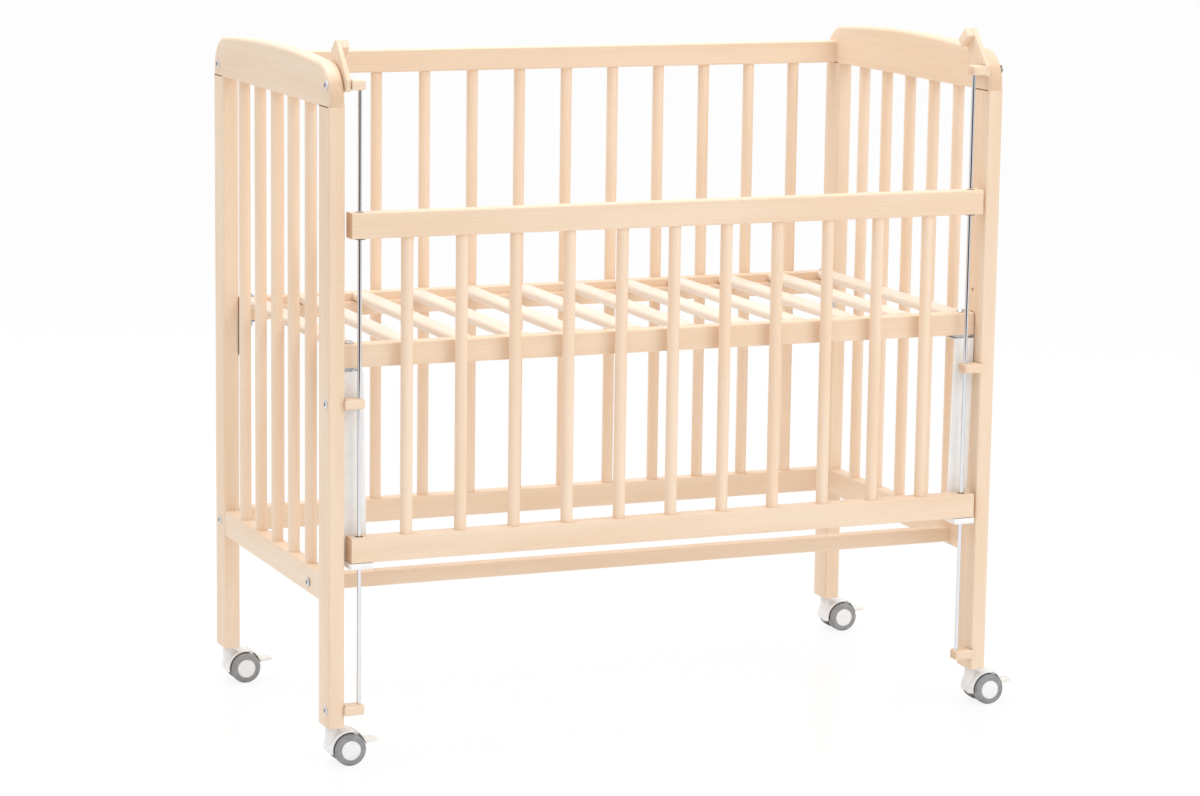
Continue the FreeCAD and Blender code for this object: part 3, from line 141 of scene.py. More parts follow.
def beech(name, grain, pale, tan, ring=5.0 * MM, lean=0.35):
    """Planed beech under clear matt lacquer, with its grain along one axis.

    The eye gets a pale pinkish tan that drifts slowly along the board, faint year rings (ring is
    their width), the short dark flecks of beech, 0.55 by 4 mm, and darker end grain. The fibres,
    0.9 mm wide, and the end grain's pores, 0.8 mm, are coarser than real ones, so that they show.
    lean turns the rings about the grain.
    """
    material, tree = new_material(name)
    place = add(tree, "TexCoord")
    along = add(tree, "Mapping", {"Vector": place.outputs["Object"], "Rotation": TURN[grain]})
    along = add(tree, "Mapping", {"Vector": along.outputs["Vector"], "Rotation": (0.0, 0.0, lean)})
    along = along.outputs["Vector"]
    facing = add(tree, "Mapping", {"Vector": place.outputs["Normal"], "Rotation": TURN[grain]},
                 vector_type="NORMAL").outputs["Vector"]
    up = add(tree, "SeparateXYZ", {"Vector": facing}).outputs["Z"]
    end_face = ramp(tree, math_node(tree, "ABSOLUTE", up), 0.75, 0.92)

    drift = noise(tree, stretched(tree, along, (45 * MM, 45 * MM, 420 * MM)), 3.0, 0.55)
    rings = add(tree, "TexWave", {
        "Vector": stretched(tree, along, (ring * BANDS, ring * BANDS, 140 * MM)),
        "Scale": 1.0, "Distortion": 5.0, "Detail": 2.0, "Detail Scale": 0.35,
        "Detail Roughness": 0.6}).outputs["Fac"]
    flecks = noise(tree, stretched(tree, along, (0.55 * MM, 0.55 * MM, 4.0 * MM)), 1.0)
    flecks = ramp(tree, flecks, 0.62, 0.76)
    fibres = noise(tree, stretched(tree, along, (0.9 * MM, 0.9 * MM, 30 * MM)), 2.0)
    pores = noise(tree, stretched(tree, along, (0.8 * MM, 0.8 * MM, 0.8 * MM)), 2.0)

    darkness = math_node(tree, "MULTIPLY", rings, 0.10)
    for pattern, low, high, share in ((drift, 0.32, 0.70, 0.40), (fibres, 0.35, 0.7, 0.12)):
        part = math_node(tree, "MULTIPLY", ramp(tree, pattern, low, high), share)
        darkness = math_node(tree, "ADD", darkness, part)
    colour = blend_colour(tree, darkness, srgb(pale), srgb(tan))
    colour = blend_colour(tree, math_node(tree, "MULTIPLY", flecks, 0.25), colour, srgb(FLECK))
    end_grain = blend_colour(tree, ramp(tree, pores, 0.40, 0.62), srgb(tan), srgb(FLECK))
    colour = blend_colour(tree, math_node(tree, "MULTIPLY", end_face, 0.55), colour, end_grain)
    height = math_node(tree, "SUBTRACT", fibres, math_node(tree, "MULTIPLY", flecks, 0.6))
    finish_material(tree, {
        "Base Color": colour, "Roughness": spread(tree, fibres, 0.38, 0.50),
        "Specular IOR Level": 0.35, "Coat Weight": 0.12, "Coat Roughness": 0.28}, height, 0.03 * MM)
    return material


def metal(name, tone, rough, streak, depth=0.0):
    """Bright plated steel: sharp reflections whose gloss and tone vary in faint streaks, as the
    metal was drawn or rolled. streak is their size in metres along X, Y and Z."""
    material, tree = new_material(name)
    place = add(tree, "TexCoord").outputs["Object"]
    lines = noise(tree, stretched(tree, place, streak), 3.0)
    colour = blend_colour(tree, math_node(tree, "MULTIPLY", lines, 0.25), srgb(tone), srgb(STEEL_SHADE))
    finish_material(tree, {"Base Color": colour, "Metallic": 1.0,
                           "Roughness": spread(tree, lines, rough * 0.75, rough * 1.3)}, lines, depth)
    return material


def moulded(name, tone, shade, rough, grain=0.7 * MM, depth=0.01 * MM, **more):
    """Moulded plastic, rubber or powder coat: a fine grain, coarser than a real mould's so that it
    shows, and soft clouds 9 mm wide in tone and gloss."""
    material, tree = new_material(name)
    place = add(tree, "TexCoord").outputs["Object"]
    cloud = noise(tree, stretched(tree, place, (9 * MM,) * 3), 3.0)
    fine = noise(tree, stretched(tree, place, (grain,) * 3), 2.0)
    colour = blend_colour(tree, ramp(tree, cloud, 0.35, 0.75), srgb(tone), srgb(shade))
    gloss = spread(tree, cloud, rough * 0.85, rough * 1.15)
    finish_material(tree, {"Base Color": colour, "Roughness": gloss, **more}, fine, depth)
    return material


wood = {grain: beech("beech_grain_" + grain, grain, PALE, TAN) for grain in "xyz"}
# turned rods are a little paler, with narrower rings; the slats are paler still, which is
# painted light: their pale colour stands in for the strong top light on them
spindle_wood = beech("beech_turned", "z", "#F6E0C9", "#E9C8A6", ring=4.0 * MM, lean=0.9)
lit_slat_wood = beech("beech_slats_painted_light", "y", "#F0E3D5", "#E6D1BB")
# chrome is nearly a mirror, with long drawing lines; zinc is softer, and matt on the sheet
chrome = metal("chromed_steel", "#E3E6EA", 0.07, (3 * MM, 3 * MM, 300 * MM))
bright_steel = metal("bright_zinc_steel", "#D4D6D8", 0.24, (2 * MM, 2 * MM, 2 * MM), 0.01 * MM)
zinc = metal("zinc_plated_sheet", "#C6C9CB", 0.34, (6 * MM, 6 * MM, 6 * MM), 0.01 * MM)
# powder coat has a soft orange peel; the milky pedals let a little light through
white_coat = moulded("white_powder_coat", "#F7F6F5", "#F2F1F0", 0.42, 1.2 * MM, 0.02 * MM)
white_plastic = moulded("white_moulded_plastic", "#F6F6F6", "#F0F0F1", 0.30, **{"Coat Weight": 0.2})
milky = moulded("milky_plastic", "#F3F1EC", "#EAE7DF", 0.28, **{
    "Subsurface Weight": 0.35, "Subsurface Radius": (0.004, 0.0035, 0.003), "Coat Weight": 0.2})
dark_plastic = moulded("dark_moulded_plastic", "#2B2B2D", "#35353A", 0.45)
# painted shadow: a dark brown band for the shade line where the arched rails meet the posts
rail_shadow_paint = moulded("painted_rail_shadow", "#7A3E18", "#96592C", 0.8)
# painted shade: a dark sheet for the shade in the gap between the castor hoods and tyres
gap_shade_paint = moulded("painted_hood_gap_shade", "#5C5248", "#6A6058", 0.6)
grey_tyre = moulded("grey_rubber_tread", "#9B9B9C", "#8C8C8E", 0.62, 0.5 * MM, 0.03 * MM)

# ------------------------------------------------------------------ finishes on the carried-over pieces

CORNERS = [side + "_" + row for side in ("left", "right") for row in ("front", "rear")]
FINISHES = (
    (wood["x"], ("rear_top_rail", "rear_low_rail", "front_stretcher", "bed_front_rail",
                 "bed_rear_rail", "drop_top_rail", "drop_low_rail",
                 "top_brackets", "middle_brackets", "bottom_brackets")),
    (wood["y"], ("left_top_rail", "right_top_rail", "left_low_rail", "right_low_rail")),
    (wood["z"], ("left_front_post", "left_rear_post", "right_front_post", "right_rear_post",
                 "left_latch", "right_latch", "frame_dowels")),
    (lit_slat_wood, ("bed_slats",)),
    (spindle_wood, ("left_spindles", "right_spindles", "rear_spindles", "drop_spindles")),
    (chrome, ("left_guide_rod", "right_guide_rod")),
    (bright_steel, ("frame_bolts", "bracket_screws", "support_screws", "barrel_nuts",
                    "bed_bolts", "bed_washers", "bed_nuts")),
    (zinc, ("caster_stems", "bed_supports")),
    (white_coat, ("left_hanger_strap", "right_hanger_strap")),
    (white_plastic, ["left_hanger_foot", "right_hanger_foot"]
     + [corner + "_caster_housing" for corner in CORNERS]
     + [corner + "_caster_hubs" for corner in CORNERS]),
    (dark_plastic, ("drop_bushes",)),
    (grey_tyre, [corner + "_caster_tyres" for corner in CORNERS]),
    (milky, [corner + "_caster_pedal" for corner in CORNERS]),
)
FINISH = {name: finish for finish, names in FINISHES for name in names}
for name, thing in frame["nodes"].items():
    thing.data.materials.clear()
    thing.data.materials.append(FINISH[name])

# ------------------------------------------------------------------ surfaces

CORNER_STEPS = 7  # points on an outline's rounded corner
EDGE_STEPS = 4  # rows on a plate's rounded edge
ARC_STEPS = 36  # points on an arc
SHARP = math.radians(35)  # edges above this angle stay sharp
# directions by number: the two across an axis, and the two of a plane with the one across it
ACROSS = {"x": (1, 2), "y": (2, 0), "z": (0, 1)}
PLANE = {"xy": (0, 1, 2), "xz": (0, 2, 1), "yz": (1, 2, 0)}


def ring_faces(rows, columns, start):
    """Quads that join each row of a grid to the next; every row closes on itself."""
    row, column = np.meshgrid(np.arange(rows - 1), np.arange(columns), indexing="ij")
    after = (column + 1) % columns
    quads = np.stack([row * columns + column, row * columns + after,
                      (row + 1) * columns + after, (row + 1) * columns + column], axis=-1)
    return (quads.reshape(-1, 4) + start).tolist()


def piece(name, shells, material, body, nodes=()):
    """One mesh of closed shells, each a grid of closed rows. The first and last rows are filled,
    but not where the last row comes back to the first."""
    points, faces = [], []
    count = 0
    for grid in shells:
        rows, columns = grid.shape[:2]
        points.append(grid.reshape(-1, 3))
        faces += ring_faces(rows, columns, count)
        after = count + rows * columns
        if not np.allclose(grid[0], grid[-1]):
            faces.append(list(range(count, count + columns)))
            faces.append(list(range(after - columns, after)))
        count = after
    mesh = bpy.data.meshes.new(name)
    mesh.from_pydata(np.concatenate(points).tolist(), [], faces)
    work = bmesh.new()
    work.from_mesh(mesh)
    bmesh.ops.remove_doubles(work, verts=work.verts, dist=1e-6)
    bmesh.ops.recalc_face_normals(work, faces=work.faces)
    work.to_mesh(mesh)
    work.free()
    mesh.shade_smooth()
    mesh.set_sharp_from_angle(angle=SHARP)
    mesh.materials.append(material)
    thing = bpy.data.objects.new(name, mesh)
    bpy.context.scene.collection.objects.link(thing)
    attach(thing, body)
    if nodes:
        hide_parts(*nodes)


def turned(profile, centre, axis, turns, hexagons=()):
    """A surface of revolution: each (place along the axis, radius) pair of the profile is swept
    round the axis, so a point is centre + place * axis + radius * (cos a, sin a) across it. The
    rows numbered in hexagons have six flats: there the radius is also times cos 30 degrees over
    the cosine of the angle from the nearest flat's middle."""
    place, radius = np.array(profile, float).T
    angle = np.linspace(0.0, 2 * np.pi, turns, endpoint=False)
    six = np.cos(np.pi / 6) / np.cos(np.mod(angle, np.pi / 3) - np.pi / 6)
    flat = np.isin(np.arange(len(place)), hexagons)
    reach = np.where(flat[:, None], six, 1.0) * radius[:, None]
    grid = np.zeros((len(place), turns, 3))
    first, second = ACROSS[axis]
    grid[..., "xyz".index(axis)] = place[:, None]
    grid[..., first] = reach * np.cos(angle)
    grid[..., second] = reach * np.sin(angle)
    return grid * MM + np.array(centre)


def mirrored(profile, sign):
    """A profile that points along its axis, or against it where sign is -1."""
    return [(place * sign, radius) for place, radius in profile]


def rounded_outline(corners, radii):
    """A polygon with arcs for corners: each arc touches both sides at radius / tan(half the corner)
    from the corner, and turns from one side's direction to the next one's."""
    corner = np.array(corners, float)
    radius = np.broadcast_to(np.array(radii, float), len(corner))
    back = np.roll(corner, 1, axis=0) - corner
    ahead = np.roll(corner, -1, axis=0) - corner
    back /= np.linalg.norm(back, axis=1, keepdims=True)
    ahead /= np.linalg.norm(ahead, axis=1, keepdims=True)
    half = np.arccos(np.clip((back * ahead).sum(1), -1, 1)) / 2
    touch = (radius / np.tan(half))[:, None]
    bisector = back + ahead
    bisector /= np.linalg.norm(bisector, axis=1, keepdims=True)
    centre = corner + bisector * (radius / np.sin(half))[:, None]
    start = corner + back * touch - centre
    end = corner + ahead * touch - centre
    sweep = (np.pi - 2 * half)[:, None, None]
    share = np.linspace(0, 1, CORNER_STEPS)[None, :, None]
    of_start = np.sin((1 - share) * sweep) / np.sin(sweep)
    of_end = np.sin(share * sweep) / np.sin(sweep)
    return (centre[:, None] + of_start * start[:, None] + of_end * end[:, None]).reshape(-1, 2)


def plate(outline, low, high, edge, place=(0, 0, 0), plane="xy"):
    """A board cut to an outline in a plane, from low to high across it, with edges rounded to the
    radius edge: as a goes from 0 to 90 degrees, the outline is edge * (1 - sin a) inside its full
    size where it is edge * (1 - cos a) in from a face."""
    outline = np.array(outline, float)
    before, after = np.roll(outline, 1, axis=0), np.roll(outline, -1, axis=0)
    run = after - before
    inward = np.stack([-run[:, 1], run[:, 0]], axis=1)
    inward /= np.maximum(np.linalg.norm(inward, axis=1, keepdims=True), 1e-9)
    area = (before[:, 0] * outline[:, 1] - outline[:, 0] * before[:, 1]).sum()
    inward *= np.sign(area)
    angle = np.linspace(0, np.pi / 2, EDGE_STEPS)
    inset = edge * (1 - np.sin(angle))
    climb = edge * (1 - np.cos(angle))
    insets = np.concatenate([inset, inset[::-1]])
    heights = np.concatenate([low + climb, high - climb[::-1]])
    flat = outline[None] + inward[None] * insets[:, None, None]
    grid = np.zeros((len(heights), len(outline), 3))
    first, second, third = PLANE[plane]
    grid[..., first], grid[..., second] = flat[..., 0], flat[..., 1]
    grid[..., third] = heights[:, None]
    return grid * MM + np.array(place)


def arc(radius, start, end):
    """Points on a circle round the origin, between two angles in degrees."""
    angle = np.radians(np.linspace(start, end, ARC_STEPS))
    return radius * np.stack([np.cos(angle), np.sin(angle)], axis=1)


def sector(inner, outer, span):
    """The outline of a ring's sector: out along one arc and back along the other. span holds its
    first and last angle in degrees."""
    return np.concatenate([arc(outer, *span), arc(inner, *span)[::-1]])


def middle(node):
    """The middle of a CAD node's box, in metres."""
    low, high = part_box(node)
    return np.array((low + high) / 2)


def joint_place(name):
    """A joint's place, in metres."""
    return next(joint["pos_m"] for joint in frame["joints"] if joint["name"] == name)


# ------------------------------------------------------------------ turned wood and steel

SPINDLE_R, SPINDLE_EASE, SPINDLE_TURNS = 8.0, 0.6, 28
ROD_R, ROD_TURNS = 2.75, 32


def bar(node, radius, ease=0.0):
    """The profile of a plain bar as tall as a node, with its ends eased."""
    low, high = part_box(node)
    half = (high.z - low.z) / 2 / MM
    end = [(half, radius - ease), (half, 0.0)]
    if ease:
        end.insert(0, (half - ease, radius))
    return mirrored(end[::-1], -1.0) + end


def spindles(node, count, axis, body):
    """A row of equal spindles, spread evenly over the node's box along an axis."""
    low, high = (np.array(corner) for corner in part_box(node))
    centres = np.repeat(((low + high) / 2)[None], count, axis=0)
    centres[:, axis] = np.linspace(low[axis] + SPINDLE_R * MM, high[axis] - SPINDLE_R * MM, count)
    profile = bar(node, SPINDLE_R, SPINDLE_EASE)
    piece(node + "_turned", [turned(profile, centre, "z", SPINDLE_TURNS) for centre in centres],
          spindle_wood, body, (node,))


for node, count, axis, body in (("left_spindles", 5, 1, "frame"), ("right_spindles", 5, 1, "frame"),
                                ("rear_spindles", 12, 0, "frame"), ("drop_spindles", 11, 0, "drop_side")):
    spindles(node, count, axis, body)
for node in ("left_guide_rod", "right_guide_rod"):
    piece(node + "_polished", [turned(bar(node, ROD_R), middle(node), "z", ROD_TURNS)],
          chrome, "frame", (node,))

# ------------------------------------------------------------------ screw heads

# a shank and a low domed head, measured outwards from the wood's face, and the hexagon socket in it
HEAD_DOME = ((-16.0, 0.0), (-16.0, 2.5), (0.0, 2.5), (0.0, 5.9), (0.7, 5.9), (1.6, 5.2),
             (2.2, 4.0), (2.3, 3.4))
HEAD_SOCKET = ((2.2, 3.0), (0.4, 3.0), (0.4, 0.0))
HEAD_TURNS = 48
CAD_HEAD = 2.5  # how far the CAD's heads stand out from the wood
BRACKET_LOWS = {"top_brackets": 878.5, "middle_brackets": 471.0, "bottom_brackets": 68.5}
BRACKET_HIGH = 12.5


def screw_heads(node, spots):
    """Heads with their shanks on the outer faces of both ends; spots are (y, z) places in metres."""
    low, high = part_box(node)
    head = HEAD_DOME + HEAD_SOCKET
    socket = range(len(HEAD_DOME), len(head))
    shells = []
    for y, z in spots:
        for x, sign in ((low.x + CAD_HEAD * MM, -1.0), (high.x - CAD_HEAD * MM, 1.0)):
            shells.append(turned(mirrored(head, sign), (x, y, z), "x", HEAD_TURNS, socket))
    piece(node + "_socket_heads", shells, bright_steel, "frame", (node,))


rear_top, rear_low = middle("rear_top_rail"), middle("rear_low_rail")
stretcher = middle("front_stretcher")
screw_heads("frame_bolts", [(rear_top[1], rear_top[2]), (rear_top[1], rear_low[2]),
                            (stretcher[1], stretcher[2])])
screw_y = joint_place("left_latch_swing")[1]  # the screws are in line with the latches' pivots
screw_heads("bracket_screws", [(screw_y, (low + BRACKET_HIGH / 2) * MM) for low in BRACKET_LOWS.values()])

# ------------------------------------------------------------------ brackets and latches

BRACKET_REACH, BRACKET_HALF = 26.5, 11.0  # from the post's face, and to each side of the rod
BRACKET_SUNK = 1.5  # into the post
LATCH_ROOM = 7.0  # from the post's face to a top bracket, for the latch between them
SQUARE_END, FREE_END, BRACKET_EDGE = 1.0, 6.0, 2.0  # radii


def brackets(node, low):
    """A pair of small blocks that hold the rods: square at the posts, rounded at the free ends."""
    left, right = (corner.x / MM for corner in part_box(node))
    rod_y = middle("left_guide_rod")[1] / MM
    shells = []
    for edge, inwards in ((left, 1.0), (right, -1.0)):
        if node == "top_brackets":
            near, far = edge, edge + inwards * (BRACKET_REACH - LATCH_ROOM)
        else:
            near, far = edge - inwards * BRACKET_SUNK, edge + inwards * BRACKET_REACH
        corners = [(near, rod_y - BRACKET_HALF), (far, rod_y - BRACKET_HALF),
                   (far, rod_y + BRACKET_HALF), (near, rod_y + BRACKET_HALF)]
        outline = rounded_outline(corners, (SQUARE_END, FREE_END, FREE_END, SQUARE_END))
        shells.append(plate(outline, low, low + BRACKET_HIGH, BRACKET_EDGE))
    piece(node + "_rounded", shells, wood["x"], "frame", (node,))


for node, low in BRACKET_LOWS.items():
    brackets(node, low)

# sizes of a latch from its pivot: the arm and the block on its end along the lean, the foot
# along Y and Z
LATCH_TILT = math.radians(42.0)  # lean of the open arm to the rear
ARM_REACH, ARM_HALF, ARM_THICK, ARM_CORNER, ARM_EDGE = 63.0, 14.5, 6.4, 4.0, 1.0
BLOCK_NEAR, BLOCK_FAR, BLOCK_HALF, BLOCK_CORNER, BLOCK_EDGE = 49.1, 62.5, 12.5, 1.5, 0.8
BLOCK_OUT, BLOCK_SUNK = 10.3, 1.0  # out from the arm's face, and into the arm
FOOT_FRONT, FOOT_REAR, FOOT_LOW = -13.0, 32.0, -8.0
LATCH_GAP = 0.3  # from the post's face


def latch(side, sign, post_x):
    """A swing latch, drawn open: a flat leaning arm on a wide foot, and a block across its end
    that carries the raised side. sign is -1 on the left and 1 on the right, and post_x is the
    inner face of the post, in metres."""
    along = np.array((math.sin(LATCH_TILT), math.cos(LATCH_TILT)))
    across = np.array((math.cos(LATCH_TILT), -math.sin(LATCH_TILT)))

    def edge_z(y, aside):
        """The height at which the arm's edge, this far aside of its middle line, passes y."""
        return (y * math.cos(LATCH_TILT) - aside) / math.sin(LATCH_TILT)

    arm = [(FOOT_FRONT, FOOT_LOW), (FOOT_REAR, FOOT_LOW), (FOOT_REAR, edge_z(FOOT_REAR, ARM_HALF)),
           ARM_REACH * along + ARM_HALF * across, ARM_REACH * along - ARM_HALF * across,
           (FOOT_FRONT, edge_z(FOOT_FRONT, -ARM_HALF))]
    block = [out * along + aside * BLOCK_HALF * across
             for out, aside in ((BLOCK_NEAR, 1), (BLOCK_FAR, 1), (BLOCK_FAR, -1), (BLOCK_NEAR, -1))]
    back = post_x / MM - sign * LATCH_GAP
    front = back - sign * ARM_THICK
    pivot = (0, *joint_place(side + "_latch_swing")[1:])
    arm_span = sorted((back, front))
    block_span = sorted((front + sign * BLOCK_SUNK, front - sign * BLOCK_OUT))
    shells = [plate(rounded_outline(arm, ARM_CORNER), *arm_span, ARM_EDGE, pivot, "yz"),
              plate(rounded_outline(block, BLOCK_CORNER), *block_span, BLOCK_EDGE, pivot, "yz")]
    piece(side + "_latch_arm", shells, wood["z"], side + "_latch_arm", (side + "_latch",))


latch("left", -1.0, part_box("left_front_post")[1].x)
latch("right", 1.0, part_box("right_front_post")[0].x)

# ------------------------------------------------------------------ castors

WHEEL_R, HUB_R = 21.0, 13.2
WHEEL_Y = 15.0  # from a castor's middle to each wheel's
TRAIL = 20.0  # from the stem to the axle
TYRE_TURNS, DISC_TURNS, AXLE_TURNS, BOSS_TURNS, PIN_TURNS = 56, 48, 24, 32, 16
# profiles of (place along the axis, radius), the stem's boss measured up from the floor
TYRE = [(-8.0, HUB_R), (-8.0, 17.0), (-7.6, 18.8), (-6.4, 20.3), (-4.6, WHEEL_R), (4.6, WHEEL_R),
        (6.4, 20.3), (7.6, 18.8), (8.0, 17.0), (8.0, HUB_R), (6.0, HUB_R - 0.6),
        (-6.0, HUB_R - 0.6), (-8.0, HUB_R)]
DISC = [(-7.2, 0.0), (-7.2, HUB_R - 0.1), (7.3, HUB_R - 0.1), (7.7, 12.7), (7.7, 12.1), (7.2, 11.8),
        (7.3, 11.3), (7.6, 8.0), (7.85, 4.0), (7.9, 0.0)]
AXLE = [(-17.0, 0.0), (-17.0, 3.0), (17.0, 3.0), (17.0, 0.0)]
PIN = [(-16.0, 0.0), (-16.0, 1.2), (16.0, 1.2), (16.0, 0.0)]
BOSS = [(24.0, 0.0), (24.0, 7.0), (25.0, 8.0), (46.5, 8.0), (48.0, 7.2), (50.0, 7.0), (50.0, 0.0)]
# sectors round the axle: (inner radius, outer radius, span in degrees up from the trailing side),
# and how far each goes to both sides along Y
HOOD, HOOD_HALF = sector(22.5, 25.2, (74, 192)), 17.0
# the dark sheet inside the hood is painted shade, for the gap over the tyres
SHADE_SHEET, SHADE_SHEET_HALF = sector(21.7, 22.45, (77, 191)), 16.7
PEDAL, PEDAL_HALF = sector(22.5, 25.0, (12, 58)), 13.0
# between the wheels: from the hood's arc in to the axle and round it
WEB, WEB_HALF = np.concatenate([arc(23.5, 76, 200), arc(8.0, 200, 436)]), 6.0
# where the foot presses: a tapered tongue behind the pedal, seen from above
TONGUE = rounded_outline([(20.5, -12.5), (33, -11), (42.3, -7), (42.3, 7), (33, 11), (20.5, 12.5)],
                         (0.5, 5, 4, 4, 5, 0.5))
TONGUE_LOW, TONGUE_HIGH = 6.0, 9.6  # above the axle
HINGE_OUT, HINGE_ANGLE = 24.1, math.radians(64)


def castor(corner):
    """A twin-wheel castor: two tyres with domed hubs, a hood with a dark sheet inside it that is
    painted shade for the gap over the tyres, the boss for the stem, and the milky brake pedal,
    pressed down."""
    node = corner + "_caster"
    axle = middle(node + "_tyres")
    axle[2] = WHEEL_R * MM
    stem = (axle[0] - TRAIL * MM, middle(node + "_housing")[1], 0)
    hinge = axle + HINGE_OUT * MM * np.array((math.cos(HINGE_ANGLE), 0, math.sin(HINGE_ANGLE)))
    wheels = [(side, axle + (0, side * WHEEL_Y * MM, 0)) for side in (-1, 1)]
    tyres = [turned(TYRE, centre, "y", TYRE_TURNS) for side, centre in wheels]
    piece(corner + "_tyre_pair", tyres, grey_tyre, corner + "_wheels", (node + "_tyres",))
    hubs = [turned(mirrored(DISC, side), centre, "y", DISC_TURNS) for side, centre in wheels]
    hubs.append(turned(AXLE, axle, "y", AXLE_TURNS))
    piece(corner + "_hub_discs", hubs, white_plastic, corner + "_wheels",
          (node + "_hubs",))
    hood = [plate(HOOD, -HOOD_HALF, HOOD_HALF, 1.1, axle, "xz"),
            plate(WEB, -WEB_HALF, WEB_HALF, 0.6, axle, "xz"),
            turned(BOSS, stem, "z", BOSS_TURNS), turned(PIN, hinge, "y", PIN_TURNS)]
    piece(corner + "_hood", hood, white_plastic, corner + "_swivel",
          (node + "_housing",))
    # painted shade: a dark sheet just inside the hood, for the gap over the tyres
    shade_sheet = [plate(SHADE_SHEET, -SHADE_SHEET_HALF, SHADE_SHEET_HALF, 0.1, axle, "xz")]
    piece(corner + "_hood_shade_sheet", shade_sheet, gap_shade_paint, corner + "_swivel")
    pedal = [plate(PEDAL, -PEDAL_HALF, PEDAL_HALF, 0.9, axle, "xz"),
             plate(TONGUE, TONGUE_LOW, TONGUE_HIGH, 1.2, axle)]
    piece(corner + "_brake_pedal", pedal, milky, corner + "_brake",
          (node + "_pedal",))


for corner in CORNERS:
    castor(corner)

# ------------------------------------------------------------------ painted shadow lines where the arched rails meet their posts

SEAM_LOW, SEAM_HIGH = 856.2, 857.6
SEAM_PROUD, SEAM_INSET = 0.2, 3.0  # out of the post's X faces, and in from its Y faces


def rail_shadow_band(corner):
    """A painted shadow line: a thin dark band, just proud of the post, where an arched rail meets
    its post. It stands in for the shade under the rail's edge, and shows on the X faces only.
    """
    low, high = (np.array(point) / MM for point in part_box(corner + "_post"))
    left, right = low[0] - SEAM_PROUD, high[0] + SEAM_PROUD
    front, rear = low[1] + SEAM_INSET, high[1] - SEAM_INSET
    outline = rounded_outline([(left, front), (right, front), (right, rear), (left, rear)], 0.5)
    piece(corner + "_rail_shadow_line", [plate(outline, SEAM_LOW, SEAM_HIGH, 0.1)], rail_shadow_paint, "frame")


for corner in CORNERS:
    rail_shadow_band(corner)

# ------------------------------------------------------------------ floor, light and camera

FLOOR_HALF = 40.0
# the dark card lies on the floor, from in front of the crib to under and behind the camera
CARD = ((-2.9, -2.0, 0.004), (0.6, -3.5, 0.004), (2.7, -14.2, 0.004), (-12.1, -7.9, 0.004))


def flat_thing(name, corners, material):
    """One flat quad of the studio."""
    mesh = bpy.data.meshes.new(name)
    mesh.from_pydata(corners, [], [(0, 1, 2, 3)])
    mesh.materials.append(material)
    thing = bpy.data.objects.new(name, mesh)
    bpy.context.scene.collection.objects.link(thing)
    return thing


def white_floor():
    """A plain white floor with a faint gloss: white to the camera, and it keeps the crib's shadow."""
    material, tree = new_material("studio_floor")
    path = add(tree, "LightPath")
    paint = add(tree, "BsdfPrincipled", {"Base Color": srgb("#FAFAFA"), "Roughness": 0.22,
                                         "Specular IOR Level": 0.35})
    glow = add(tree, "Emission", {"Color": (1.0, 1.0, 1.0, 1.0), "Strength": 1.0})
    seen = math_node(tree, "MULTIPLY", path.outputs["Is Camera Ray"], 0.87)
    mixed = add(tree, "MixShader", {0: seen, 1: paint.outputs[0], 2: glow.outputs[0]})
    add(tree, "OutputMaterial", {"Surface": mixed.outputs[0]})
    half = FLOOR_HALF
    floor = flat_thing("floor", [(-half, -half, 0), (half, -half, 0), (half, half, 0),
                                 (-half, half, 0)], material)


def dark_studio():
    """The unlit floor in front of the paper sweep: only reflections show it, and it gives the
    polished rods their dark cores."""
    material, tree = new_material("unlit_room")
    paint = add(tree, "BsdfDiffuse", {"Color": srgb("#3A3444")})
    add(tree, "OutputMaterial", {"Surface": paint.outputs[0]})
    card = flat_thing("dark_studio", CARD, material)
    card.visible_camera = card.visible_diffuse = False
    card.visible_shadow = card.visible_transmission = False


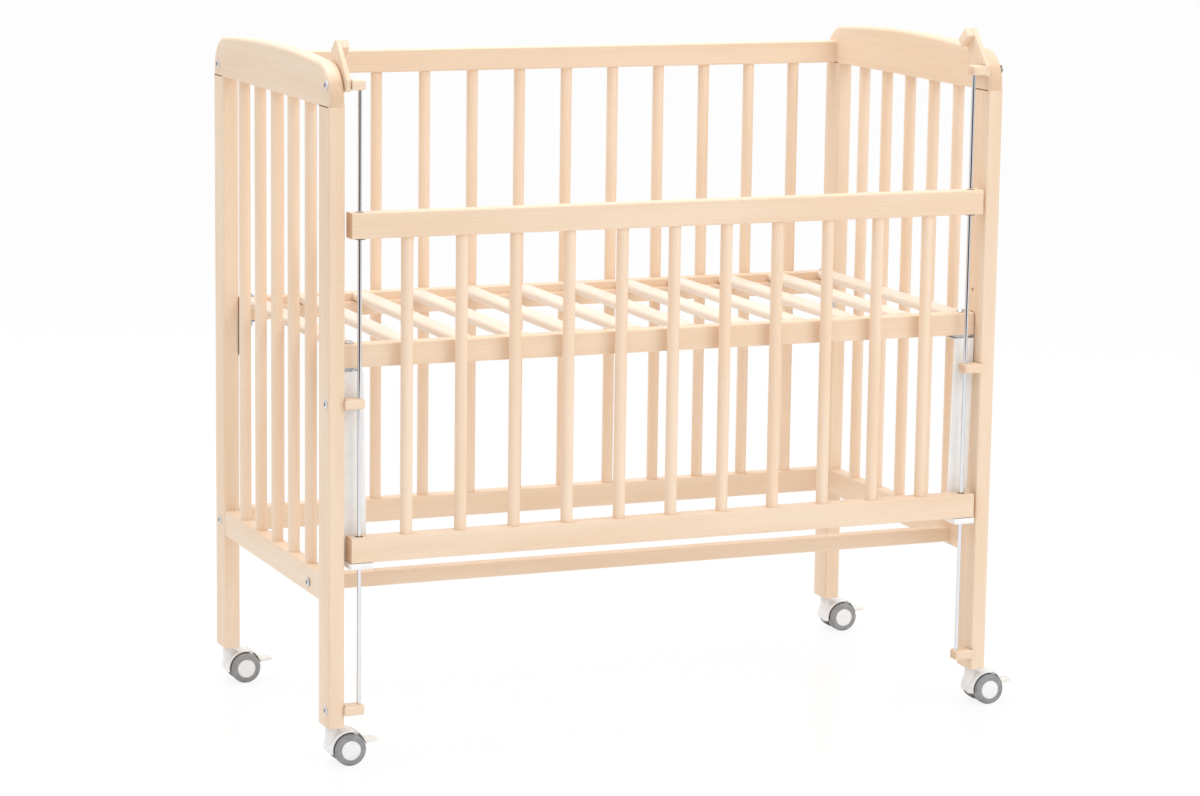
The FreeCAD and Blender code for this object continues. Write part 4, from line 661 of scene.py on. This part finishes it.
def studio_world():
    """Even white surroundings: white to camera, gloss and glass, softer on the object."""
    world = bpy.data.worlds.new("studio")
    bpy.context.scene.world = world
    world.use_nodes = True
    tree = world.node_tree
    tree.nodes.clear()
    path = add(tree, "LightPath")
    seen = math_node(tree, "MAXIMUM", path.outputs["Is Camera Ray"], path.outputs["Is Glossy Ray"])
    seen = math_node(tree, "MAXIMUM", seen, path.outputs["Is Transmission Ray"])
    strength = add(tree, "MapRange", {"Value": seen, "To Min": 0.80, "To Max": 1.0})
    back = add(tree, "Background", {"Color": (1.0, 1.0, 1.0, 1.0),
                                    "Strength": strength.outputs["Result"]})
    add(tree, "OutputWorld", {"Surface": back.outputs[0]})


def soft_lamp(name, place, aim, size, power):
    """A square softbox that looks at a point; its size is in metres and its power in watts."""
    lamp = bpy.data.lights.new(name, "AREA")
    lamp.shape = "SQUARE"
    lamp.size = size
    lamp.energy = power
    thing = bpy.data.objects.new(name, lamp)
    thing.location = place
    thing.rotation_mode = "QUATERNION"
    thing.rotation_quaternion = (Vector(aim) - Vector(place)).to_track_quat("-Z", "Y")
    bpy.context.scene.collection.objects.link(thing)


def photo_camera():
    """The camera that the photograph was taken with, solved from the crib's straight edges."""
    place = Vector((-1.96516, -4.62413, 1.30374))
    yaw, pitch, roll = (math.radians(angle) for angle in (22.59, 10.05, 0.77))
    ahead = Vector((math.sin(yaw) * math.cos(pitch), math.cos(yaw) * math.cos(pitch), -math.sin(pitch)))
    level = Vector((math.cos(yaw), -math.sin(yaw), 0.0))
    above = level.cross(ahead)
    right = math.cos(roll) * level + math.sin(roll) * above
    up = -math.sin(roll) * level + math.cos(roll) * above
    camera = bpy.data.cameras.new("photo_camera")
    camera.sensor_width = 36.0
    camera.lens = 110.2
    camera.shift_x = 0.0071
    camera.shift_y = 0.0023
    camera.clip_end = 200.0
    thing = bpy.data.objects.new("photo_camera", camera)
    turn = Matrix((right, up, -ahead)).transposed()
    thing.matrix_world = Matrix.Translation(place) @ turn.to_4x4()
    bpy.context.scene.collection.objects.link(thing)
    bpy.context.scene.camera = thing


white_floor()
dark_studio()
studio_world()
soft_lamp("key_softbox", place=(1.6, -3.2, 3.0), aim=(0.0, 0.0, 0.5), size=2.4, power=44.0)
soft_lamp("top_softbox", place=(-0.4, 0.6, 3.4), aim=(0.0, 0.0, 0.4), size=2.6, power=60.0)
photo_camera()
bpy.context.scene.view_settings.view_transform = "Standard"
